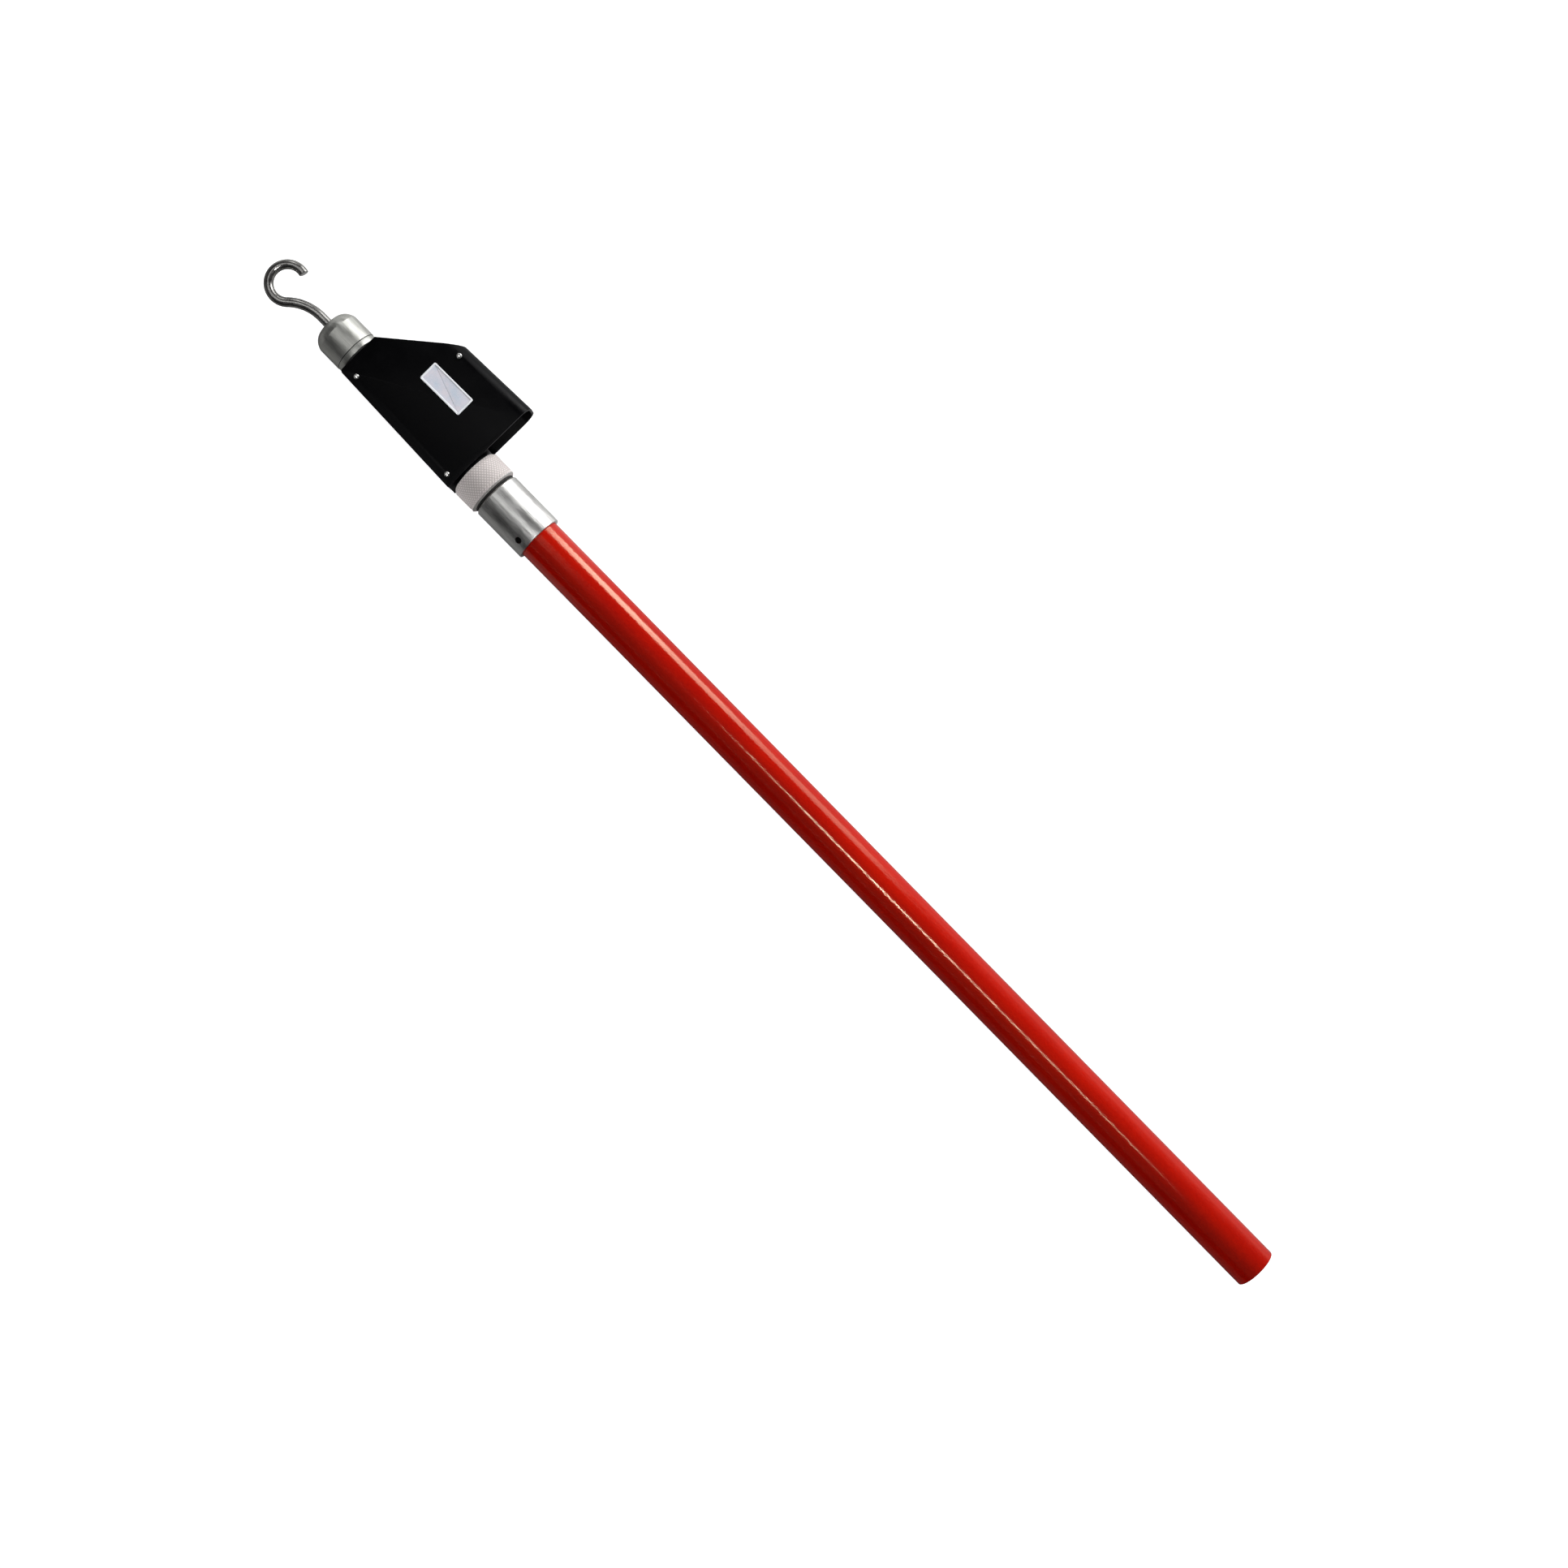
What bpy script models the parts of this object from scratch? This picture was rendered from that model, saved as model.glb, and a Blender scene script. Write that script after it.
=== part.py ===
"""Contact high voltage detector: hook electrode, shaded neon lamp, coupling nut and insulating pole.

The pole lies along +X from its butt end at the origin to the hook. +Z points out of the hood's front, and the
hood's wide side is towards -Y. All sizes are in metres.
"""

import math

import bmesh
import bpy
from mathutils import Vector

# Running and seating gap between neighbouring pieces
CLEARANCE = 0.0003

# Insulating pole
POLE_RADIUS = 0.016
POLE_WALL = 0.003
POLE_LENGTH = 0.722  # butt end to the ferrule's lip
PLUG_DEPTH = 0.012

# Ferrule and its pins
FERRULE_WALL = 0.0022
FERRULE_LENGTH = 0.044
FERRULE_END_WALL = 0.010
FERRULE_CHAMFER = 0.0012
PIN_RADIUS = 0.0023
PIN_SETBACK = 0.0075  # from the ferrule's lip
PIN_ANGLE = math.radians(38)  # round from the front
PIN_RECESS = 0.0008

# Screwed coupling between the pole and the head
THREAD_STEP = 0.001  # male thread's radius under the pole's
THREAD_LENGTH = 0.011
SEAL_GAP = 0.002
SEAL_RECESS = 0.0009
NUT_WALL = 0.0046
NUT_LIP = 0.0045
NUT_CHAMFER = 0.0012
NUT_RIM = 0.0022
KNURL_COUNT = 38  # diamonds round the nut
KNURL_ROWS = 9
KNURL_DEPTH = 0.0005
FLANGE_THICKNESS = 0.0057
LIP_STEP = 0.0025  # width of the shoulder that the nut pulls on

# Core tube, the head's spine
CORE_WALL = 0.003
SPIGOT_DEPTH = 0.022
SPIGOT_PIN_RADIUS = 0.0015
SPIGOT_PIN_SETBACK = 0.012
FOOT_RING_STEP = 0.0006  # inside the hood's front and back
FOOT_RING_THICKNESS = 0.002
LEAD_HOLE_RADIUS = 0.0027

# Hood, an outline in the X-Y plane wrapped over its depth in Z
HOOD_RISE = 0.0022  # its mouth above the nut's top
HOOD_LENGTH = 0.111
HOOD_WALL = 0.0016
HOOD_BEND = 0.010  # outer radius along the wide side
HOOD_CORNER = 0.0025  # radius of the top left corner
HOOD_DEPTH_MARGIN = 0.005  # half depth over the core tube's radius
HOOD_NUT_MARGIN = 0.0005
HOOD_TUBE_MARGIN = 0.0047
HOOD_SHOULDER_MARGIN = 0.0043
HOOD_REACH = 0.0599  # from the pole's axis to the wide side, at the bottom
HOOD_DRAFT = 0.0377  # narrowing of the wide side per length
HOOD_CORNER_DROP = 0.048  # height of the slanted side

# Frame that closes the hood's edges
FRAME_WALL = 0.002
FRAME_INSET = 0.0002
SHELF_FROM_CORNER = 0.007  # lamp shelf below the slanted side's lower corner
LEAD_CHANNEL = 0.0038  # between the core tube and the partition

# Cover screws
SCREW_HEAD_RADIUS = 0.0021
SCREW_HEAD_HEIGHT = 0.0015
SCREW_RADIUS = 0.0011
SCREW_LENGTH = 0.0060
SCREW_INSET = 0.0057
SCREW_FROM_TOP = 0.0111
SCREW_FROM_BOTTOM = 0.0069
SCREW_FROM_CORNER = 0.0031
SCREW_FROM_SIDE = 0.0081
BOSS_RADIUS = 0.0046
BOSS_DEPTH = 0.0045

# Rating plate
PLATE_LENGTH = 0.0376
PLATE_WIDTH = 0.0152
PLATE_THICKNESS = 0.0009
PLATE_BORDER = 0.0011
PLATE_RECESS = 0.0003
PLATE_CORNER = 0.0012
PLATE_FROM_TOP = 0.0614
PLATE_ACROSS = 0.0272
PLATE_TURN = math.radians(0.75)

# Lamp unit on the shelf
LAMP_ACROSS = 0.031
LENS_RADIUS = 0.0085
LENS_WALL = 0.0012
LENS_HEIGHT = 0.006
LENS_FLANGE = 0.0015
LAMP_RADIUS = 0.0040
LAMP_LENGTH = 0.0135
LAMP_BASE_RADIUS = 0.0042
LAMP_BASE_LENGTH = 0.011
HOLDER_WALL = 0.001
HOLDER_RIM = 0.003
HOLDER_LENGTH = 0.0225
HOLDER_NECK = 0.0065
REFLECTOR_LENGTH = 0.0095
REFLECTOR_WALL = 0.0005

# Resistor stack in the core tube
WASHER_THICKNESS = 0.003
RESISTOR_FOOT = 0.006
RESISTOR_RADIUS = 0.0070
SLEEVE_FLANGE = 0.004
SLEEVE_RADIUS = 0.005
SLEEVE_LENGTH = 0.024
SLEEVE_FLOOR = 0.0065
TAIL_RADIUS = 0.0018
PLUNGER_FLANGE_RADIUS = 0.006
PLUNGER_FLANGE = 0.0018
PLUNGER_PIN_RADIUS = 0.0026
PLUNGER_PIN_LENGTH = 0.0134
LEAD_RADIUS = 0.0009
LEAD_SPACING = 0.0025  # of each lead from the middle plane

# Gasket, ring and cap over the hood
GASKET_THICKNESS = 0.0010
RING_LENGTH = 0.0042
RING_STEP = 0.0003  # ring's radius under the cap's
CAP_STEP = 0.0004  # cap's radius under the hood's half depth
CAP_LENGTH = 0.0262
CAP_END_WALL = 0.0125
CAP_DOME = 0.0112
CAP_FLAT = 0.0080  # radius of the flat top
EDGE = 0.0004  # small chamfer on turned edges

# Hook
HOOK_RADIUS = 0.0035
HOOK_FIT = 0.0002
HOOK_SHANK = 0.0085  # straight run above the cap
HOOK_BEND = 0.0347  # radius of the bend out of line
HOOK_RING = 0.0134  # radius of the crook
HOOK_OFFSET = 0.0005  # crook's centre from the pole's axis
HOOK_TIP = math.radians(-105)

# Radii that follow from the pole's
thread_radius = POLE_RADIUS - THREAD_STEP
core_radius = thread_radius - LIP_STEP
core_bore = core_radius - CORE_WALL
bored_radius = core_bore - CLEARANCE
sleeved_radius = core_radius + CLEARANCE
pole_bore = POLE_RADIUS - POLE_WALL
ferrule_radius = POLE_RADIUS + CLEARANCE + FERRULE_WALL
nut_radius = thread_radius + CLEARANCE + NUT_WALL
hood_half = core_radius + HOOD_DEPTH_MARGIN
cap_radius = hood_half - CAP_STEP

# Stations along the pole
ferrule_end = POLE_LENGTH + FERRULE_LENGTH
socket_end = ferrule_end - FERRULE_END_WALL
thread_end = ferrule_end + THREAD_LENGTH
flange_start = thread_end + CLEARANCE
flange_end = flange_start + FLANGE_THICKNESS
nut_start = ferrule_end + SEAL_GAP
lip_start = flange_end + CLEARANCE
nut_end = lip_start + NUT_LIP
core_start = nut_end + CLEARANCE
hood_start = nut_end + HOOD_RISE
hood_end = hood_start + HOOD_LENGTH
frame_start = core_start + FOOT_RING_THICKNESS + CLEARANCE
shelf_start = hood_end - HOOD_CORNER_DROP - SHELF_FROM_CORNER
gasket_start = hood_end + CLEARANCE
ring_start = gasket_start + GASKET_THICKNESS + CLEARANCE
cap_start = ring_start + RING_LENGTH + CLEARANCE
cap_end = cap_start + CAP_LENGTH
stud_start = cap_end - CAP_END_WALL
core_end = stud_start - CLEARANCE
spigot_pin_at = core_start + SPIGOT_PIN_SETBACK
partition = -(core_radius + LEAD_CHANNEL + FRAME_WALL)

# Stations of the resistor stack, which fills the core tube from the spigot to the stud
washer_start = core_start + SPIGOT_DEPTH + CLEARANCE
foot_start = washer_start + WASHER_THICKNESS + CLEARANCE
resistor_start = foot_start + RESISTOR_FOOT + CLEARANCE
plunger_end = stud_start - CLEARANCE
plunger_flange_end = plunger_end - PLUNGER_PIN_LENGTH
plunger_flange_start = plunger_flange_end - PLUNGER_FLANGE
sleeve_end = plunger_flange_start - CLEARANCE
sleeve_start = sleeve_end - SLEEVE_LENGTH
resistor_end = sleeve_start - CLEARANCE

# Stations of the lamp unit
flange_seat = shelf_start + FRAME_WALL + CLEARANCE
holder_start = flange_seat + LENS_WALL + CLEARANCE
holder_end = holder_start + HOLDER_LENGTH
base_end = holder_end - HOLDER_WALL - CLEARANCE
base_start = base_end - LAMP_BASE_LENGTH
lead_exit = holder_end + 4 * LEAD_RADIUS

LOOKS = {  # colour, roughness, metallic
    "fibreglass": ((0.60, 0.02, 0.01), 0.25, 0.0),
    "foam": ((0.80, 0.72, 0.45), 0.9, 0.0),
    "rubber": ((0.02, 0.02, 0.02), 0.7, 0.0),
    "aluminium": ((0.72, 0.72, 0.71), 0.3, 1.0),
    "knurled": ((0.62, 0.60, 0.59), 0.5, 1.0),
    "steel": ((0.36, 0.36, 0.36), 0.35, 1.0),
    "bright": ((0.80, 0.80, 0.80), 0.2, 1.0),
    "black": ((0.012, 0.012, 0.013), 0.45, 0.0),
    "phenolic": ((0.16, 0.06, 0.02), 0.5, 0.0),
    "brass": ((0.70, 0.50, 0.20), 0.3, 1.0),
    "ceramic": ((0.75, 0.70, 0.62), 0.5, 0.0),
    "glass": ((0.90, 0.55, 0.35), 0.1, 0.0),
    "lens": ((0.70, 0.03, 0.02), 0.15, 0.0),
    "plate": ((0.80, 0.82, 0.84), 0.4, 0.0),
}


def left_side(x):
    """The narrow side runs from the nut's radius to just outside the core tube."""
    low = nut_radius + HOOD_NUT_MARGIN
    high = core_radius + HOOD_TUBE_MARGIN
    return low + (high - low) * (x - hood_start) / HOOD_LENGTH


def wide_side(x):
    return -(HOOD_REACH - HOOD_DRAFT * (x - hood_start))


shoulder = Vector((hood_end, -(core_radius + HOOD_SHOULDER_MARGIN)))
corner = Vector((hood_end - HOOD_CORNER_DROP, wide_side(hood_end - HOOD_CORNER_DROP)))


def clear_scene():
    for thing in list(bpy.data.objects):
        bpy.data.objects.remove(thing, do_unlink=True)


def new_collection(name):
    group = bpy.data.collections.new(name)
    bpy.context.scene.collection.children.link(group)
    return group


def new_object(name, data, group):
    thing = bpy.data.objects.new(name, data)
    group.objects.link(thing)
    return thing


def group_empty(name):
    """Every joint turns or slides on the pole's axis, so each body's empty sits there."""
    return new_object(name, None, parts)


def finish(thing, look, body):
    """Gives a piece its own material and hangs it on its body's empty."""
    colour, roughness, metallic = LOOKS[look]
    material = bpy.data.materials.new(thing.name)
    material.use_nodes = True
    shader = material.node_tree.nodes["Principled BSDF"]
    shader.inputs["Base Color"].default_value = (*colour, 1.0)
    shader.inputs["Roughness"].default_value = roughness
    shader.inputs["Metallic"].default_value = metallic
    thing.data.materials.clear()
    thing.data.materials.append(material)
    thing.parent = body
    return thing


def as_mesh(thing, group):
    """Replaces a curve or a modified object by the mesh that it evaluates to."""
    bpy.context.view_layer.update()
    evaluated = thing.evaluated_get(bpy.context.evaluated_depsgraph_get())
    mesh = bpy.data.meshes.new_from_object(evaluated)
    bm = bmesh.new()
    bm.from_mesh(mesh)
    bmesh.ops.remove_doubles(bm, verts=bm.verts, dist=1e-6)
    bmesh.ops.recalc_face_normals(bm, faces=bm.faces)
    bm.to_mesh(mesh)
    bm.free()
    name, matrix = thing.name, thing.matrix_world.copy()
    bpy.data.objects.remove(thing, do_unlink=True)
    solid = new_object(name, mesh, group)
    solid.matrix_world = matrix
    return solid


def smooth(thing, angle=math.radians(35)):
    thing.data.shade_smooth()
    thing.data.set_sharp_from_angle(angle=angle)
    return thing


def turned(name, profile, across=0.0, steps=48, group=None):
    """Turns a profile of (station, radius) points about a line parallel to the pole.

    The outer side is listed from the hook's end to the butt's. A profile that is off the axis is a closed ring.
    """
    mesh = bpy.data.meshes.new(name)
    bm = bmesh.new()
    points = [bm.verts.new((radius, 0.0, station)) for station, radius in profile]
    for first, second in zip(points, points[1:]):
        bm.edges.new((first, second))
    if profile[0][1] > 0:
        bm.edges.new((points[-1], points[0]))
    bm.to_mesh(mesh)
    bm.free()
    thing = new_object(name, mesh, group or parts)
    thing.location = (0.0, across, 0.0)
    thing.rotation_euler = (0.0, math.pi / 2, 0.0)
    screw = thing.modifiers.new("turn", "SCREW")
    screw.steps = steps
    screw.render_steps = steps
    screw.use_merge_vertices = True
    screw.merge_threshold = 1e-6
    screw.use_smooth_shade = True
    return as_mesh(thing, group or parts)


def tube_profile(start, end, inner, outer, edge=0.0):
    return [
        (end, inner),
        (end, outer - edge),
        (end - edge, outer),
        (start + edge, outer),
        (start, outer - edge),
        (start, inner),
    ] if edge else [(end, inner), (end, outer), (start, outer), (start, inner)]


def rod_profile(start, end, radius, edge=0.0):
    return tube_profile(start, end, 0.0, radius, edge)


def arc(centre, radius, first, last, steps):
    """Points of an arc in the X-Y plane, from one angle to another."""
    turns = [first + (last - first) * i / steps for i in range(steps + 1)]
    return [Vector((centre[0] + radius * math.cos(a), centre[1] + radius * math.sin(a))) for a in turns]


def rounded(outline, index, radius, steps=6):
    """The outline with one corner made an arc."""
    here = outline[index]
    before = (outline[index - 1] - here).normalized()
    after = (outline[(index + 1) % len(outline)] - here).normalized()
    half = before.angle(after) / 2
    reach = radius / math.tan(half)
    centre = here + (before + after).normalized() * radius / math.sin(half)
    start = here + before * reach - centre
    end = here + after * reach - centre
    span = start.angle_signed(end)
    turn = math.atan2(start.y, start.x)
    bend = arc(centre, radius, turn, turn - span, steps)
    return outline[:index] + bend + outline[index + 1 :]


def inset(outline, distances):
    """Moves each side of a counter-clockwise outline inwards by its own distance."""
    sides = []
    for index, distance in enumerate(distances):
        start = outline[index]
        along = (outline[(index + 1) % len(outline)] - start).normalized()
        sides.append((start + Vector((-along.y, along.x)) * distance, along))
    corners = []
    for index, (start, along) in enumerate(sides):
        last, before = sides[index - 1]
        reach = (start - last).cross(along) / before.cross(along)
        corners.append(last + before * reach)
    return corners


def flat(name, outlines, low, high, group):
    """A flat solid between two heights, from an outline and any holes in it."""
    curve = bpy.data.curves.new(name, "CURVE")
    curve.dimensions = "2D"
    curve.fill_mode = "BOTH"
    curve.extrude = (high - low) / 2
    for outline in outlines:
        spline = curve.splines.new("POLY")
        spline.points.add(len(outline) - 1)
        for point, corner_at in zip(spline.points, outline):
            point.co = (corner_at.x, corner_at.y, 0.0, 1.0)
        spline.use_cyclic_u = True
    thing = new_object(name, curve, group)
    thing.location = (0.0, 0.0, (low + high) / 2)
    return as_mesh(thing, group)


def wire(name, path, radius, resolution, group):
    """A round rod or lead along a path of points, with flat ends."""
    curve = bpy.data.curves.new(name, "CURVE")
    curve.dimensions = "3D"
    curve.bevel_depth = radius
    curve.bevel_resolution = resolution
    curve.use_fill_caps = True
    spline = curve.splines.new("POLY")
    spline.points.add(len(path) - 1)
    for point, place in zip(spline.points, path):
        point.co = (*place, 1.0)
    return smooth(as_mesh(new_object(name, curve, group), group), math.radians(60))


def smooth_path(knots, steps=6):
    """A smooth route through its knots, straight at both ends."""
    route = []
    padded = [knots[0]] + knots + [knots[-1]]
    for a, b, c, d in zip(padded, padded[1:], padded[2:], padded[3:]):
        for i in range(steps):
            t = i / steps
            pull = (c - a) * 0.5
            push = (d - b) * 0.5
            spot = (
                b * (2 * t**3 - 3 * t**2 + 1)
                + pull * (t**3 - 2 * t**2 + t)
                + c * (3 * t**2 - 2 * t**3)
                + push * (t**3 - t**2)
            )
            route.append(spot)
    route.append(knots[-1])
    return route


def cylinder(name, centre, direction, radius, length, steps=24, group=None):
    """A cylinder through a point along a direction, used for holes, pins and bosses."""
    mesh = bpy.data.meshes.new(name)
    bm = bmesh.new()
    bmesh.ops.create_cone(
        bm, cap_ends=True, segments=steps, radius1=radius, radius2=radius, depth=length
    )
    bm.to_mesh(mesh)
    bm.free()
    thing = new_object(name, mesh, group or cutters)
    thing.location = centre
    thing.rotation_euler = Vector(direction).to_track_quat("Z", "Y").to_euler()
    return thing


def combine(target, tool, operation="DIFFERENCE"):
    tool.hide_render = True
    tool.display_type = "WIRE"
    change = target.modifiers.new(tool.name, "BOOLEAN")
    change.operation = operation
    change.solver = "EXACT"
    change.object = tool
    return target


def hood_section(x, gap, wide_end):
    """The hood's cross section in Y and Z at a station, moved inwards by a gap."""
    half = hood_half - gap
    side = wide_side(x) + gap
    radius = HOOD_BEND - gap
    bend = arc((side + radius, half - radius), radius, math.pi / 2, math.pi, 8)
    upper = [Vector((left_side(x) + wide_end, half))] + bend
    lower = [Vector((p.x, -p.y)) for p in reversed(upper)]
    return upper + lower


def hood_wrap(name, gap, start, end, wide_end, closed, group):
    """The section drawn out from one station to another, as a skin or as a solid."""
    mesh = bpy.data.meshes.new(name)
    bm = bmesh.new()
    section = hood_section(start, gap, wide_end)
    verts = [bm.verts.new((start, p.x, p.y)) for p in section]
    left_shift = left_side(end) - left_side(start)
    wide_shift = wide_side(end) - wide_side(start)
    if closed:
        seed = bm.faces.new(verts)
        grown = bmesh.ops.extrude_face_region(bm, geom=[seed])
    else:
        edges = [bm.edges.new(pair) for pair in zip(verts, verts[1:])]
        grown = bmesh.ops.extrude_edge_only(bm, edges=edges)
    for item in grown["geom"]:
        if isinstance(item, bmesh.types.BMVert):
            item.co.x = end
            item.co.y += left_shift if item.co.y > 0 else wide_shift
    bmesh.ops.recalc_face_normals(bm, faces=bm.faces)
    bm.to_mesh(mesh)
    bm.free()
    return new_object(name, mesh, group)


def make_pole():
    """Foam-filled fibreglass tube with a plug in its butt end."""
    end = socket_end - CLEARANCE
    tube = smooth(turned("pole_tube", tube_profile(0.0, end, pole_bore, POLE_RADIUS)))
    plug = turned("butt_plug", rod_profile(0.0, PLUG_DEPTH, pole_bore - CLEARANCE, EDGE))
    foam = turned(
        "foam_core", rod_profile(PLUG_DEPTH + CLEARANCE, end - CLEARANCE, pole_bore - CLEARANCE)
    )
    finish(tube, "fibreglass", pole)
    finish(smooth(plug), "rubber", pole)
    finish(smooth(foam), "foam", pole)
    return tube, foam


def make_ferrule(tube, foam):
    """Socket for the pole at one end, the male thread's barrel at the other, and two recessed pins."""
    ferrule = turned(
        "ferrule",
        [
            (thread_end, 0.0),
            (thread_end, thread_radius - EDGE),
            (thread_end - EDGE, thread_radius),
            (ferrule_end, thread_radius),
            (ferrule_end, ferrule_radius - FERRULE_CHAMFER),
            (ferrule_end - FERRULE_CHAMFER, ferrule_radius),
            (POLE_LENGTH + EDGE, ferrule_radius),
            (POLE_LENGTH, ferrule_radius - EDGE),
            (POLE_LENGTH, POLE_RADIUS + CLEARANCE),
            (socket_end, POLE_RADIUS + CLEARANCE),
            (socket_end, 0.0),
        ],
    )
    station = POLE_LENGTH + PIN_SETBACK
    head = ferrule_radius - PIN_RECESS
    root = pole_bore + CLEARANCE
    for side, label in ((1, "front"), (-1, "back")):
        outwards = side * Vector((0.0, math.sin(PIN_ANGLE), math.cos(PIN_ANGLE)))
        pin = cylinder(
            f"ferrule_pin_{label}",
            Vector((station, 0.0, 0.0)) + outwards * (head + root) / 2,
            outwards,
            PIN_RADIUS,
            head - root,
            group=parts,
        )
        finish(smooth(pin), "steel", pole)
        hole = cylinder(
            f"pin_hole_{label}",
            Vector((station, 0.0, 0.0)) + outwards * ferrule_radius,
            outwards,
            PIN_RADIUS + CLEARANCE,
            2 * (ferrule_radius - pole_bore) + 2 * CLEARANCE,
        )
        combine(ferrule, hole)
        combine(tube, hole)
    finish(smooth(ferrule), "aluminium", pole)
    seal = turned(
        "seal_ring",
        tube_profile(
            ferrule_end + CLEARANCE,
            nut_start - CLEARANCE,
            thread_radius + CLEARANCE,
            ferrule_radius - SEAL_RECESS,
        ),
        steps=40,
    )
    finish(smooth(seal), "rubber", pole)


def make_nut():
    """Coupling nut: a turned blank whose band is raised into a diamond knurl."""
    top = nut_end - NUT_CHAMFER
    bottom = nut_start + NUT_RIM
    low_radius = nut_radius - KNURL_DEPTH
    rows = [(top + (bottom - top) * j / KNURL_ROWS, low_radius) for j in range(KNURL_ROWS + 1)]
    profile = [
        (nut_end, sleeved_radius),
        (nut_end, nut_radius - NUT_CHAMFER),
        *rows,
        (bottom - EDGE, nut_radius),
        (nut_start + EDGE, nut_radius),
        (nut_start, nut_radius - EDGE),
        (nut_start, thread_radius + CLEARANCE),
        (lip_start, thread_radius + CLEARANCE),
        (lip_start, sleeved_radius),
    ]
    nut = turned("coupling_nut", profile, steps=2 * KNURL_COUNT)
    bm = bmesh.new()
    bm.from_mesh(nut.data)
    pitch = math.pi / KNURL_COUNT
    row_height = (top - bottom) / KNURL_ROWS
    peaks = set()
    for vert in bm.verts:
        if vert.co.xy.length < low_radius - EDGE:
            continue
        column = round(math.atan2(vert.co.y, vert.co.x) / pitch)
        row = round((top - vert.co.z) / row_height)
        if 0 < row < KNURL_ROWS and (row + column) % 2:
            peaks.add(vert)
    for vert in peaks:
        vert.co.xy *= nut_radius / low_radius
    for face in [f for f in bm.faces if sum(v in peaks for v in f.verts) == 2 and len(f.verts) == 4]:
        valley = [v for v in face.verts if v not in peaks]
        bmesh.ops.connect_verts(bm, verts=valley)
    bm.to_mesh(nut.data)
    bm.free()
    finish(smooth(nut, math.radians(12)), "knurled", nut_body)


def make_spine():
    """Spigot, core tube and foot ring, which carry the head."""
    neck_end = core_start - CLEARANCE
    plug_end = core_start + SPIGOT_DEPTH
    spigot = turned(
        "coupling_spigot",
        [
            (plug_end, 0.0),
            (plug_end, bored_radius - EDGE),
            (plug_end - EDGE, bored_radius),
            (neck_end, bored_radius),
            (neck_end, core_radius),
            (flange_end, core_radius),
            (flange_end, thread_radius),
            (flange_start, thread_radius),
            (flange_start, 0.0),
        ],
        steps=32,
    )
    tube = turned("core_tube", tube_profile(core_start, core_end, core_bore, core_radius), steps=32)
    pin = cylinder(
        "spigot_pin",
        (spigot_pin_at, 0.0, 0.0),
        (0.0, 1.0, 0.0),
        SPIGOT_PIN_RADIUS,
        2 * core_radius,
        16,
        parts,
    )
    finish(smooth(pin), "steel", head)
    hole = cylinder(
        "spigot_pin_hole",
        (spigot_pin_at, 0.0, 0.0),
        (0.0, 1.0, 0.0),
        SPIGOT_PIN_RADIUS + CLEARANCE,
        3 * core_radius,
        16,
    )
    combine(spigot, hole)
    combine(tube, hole)
    lead_hole = cylinder(
        "lead_hole",
        (lead_exit, -core_radius, LEAD_SPACING),
        (0.0, 1.0, 0.0),
        LEAD_HOLE_RADIUS,
        core_radius,
        16,
    )
    combine(tube, lead_hole)
    foot = turned(
        "foot_ring",
        tube_profile(
            core_start,
            core_start + FOOT_RING_THICKNESS,
            sleeved_radius,
            hood_half - HOOD_WALL - FOOT_RING_STEP,
        ),
        steps=32,
    )
    finish(smooth(spigot), "aluminium", head)
    finish(smooth(tube), "phenolic", head)
    finish(smooth(foot), "black", head)


def screw_places():
    """Name, place and side of the cover's screws, in the X-Y plane."""
    upper = hood_end - SCREW_FROM_TOP
    lower = hood_start + SCREW_FROM_BOTTOM
    far = corner.x - SCREW_FROM_CORNER
    return {
        "upper": Vector((upper, left_side(upper) - SCREW_INSET)),
        "lower": Vector((lower, left_side(lower) - SCREW_INSET)),
        "corner": Vector((far, wide_side(far) + SCREW_FROM_SIDE)),
    }


def hood_outline():
    """Outline that trims the wrapped cover: open past the wide side and the bottom."""
    margin = HOOD_BEND
    slope = (corner - shoulder).normalized()
    beyond = corner + slope * margin
    below = hood_start - margin
    outline = [
        Vector((below, left_side(below))),
        Vector((below, beyond.y)),
        beyond,
        shoulder.copy(),
        Vector((hood_end, left_side(hood_end))),
    ]
    return rounded(outline, len(outline) - 1, HOOD_CORNER)


def make_cover():
    """One sheet wrapped round the wide side and trimmed to the outline."""
    cover = hood_wrap("hood_cover", 0.0, hood_start, hood_end + HOOD_WALL, HOOD_WALL, False, parts)
    shell = cover.modifiers.new("wall", "SOLIDIFY")
    shell.thickness = HOOD_WALL
    shell.offset = -1.0
    shell.use_even_offset = True
    outline = flat("cover_outline", [hood_outline()], -2 * hood_half, 2 * hood_half, cutters)
    combine(cover, outline, "INTERSECT")
    for label, place in screw_places().items():
        hole = cylinder(
            f"cover_hole_{label}",
            (*place, 0.0),
            (0.0, 0.0, 1.0),
            SCREW_RADIUS + CLEARANCE,
            4 * hood_half,
            12,
        )
        combine(cover, hole)
    finish(smooth(cover, math.radians(25)), "black", head)


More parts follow.
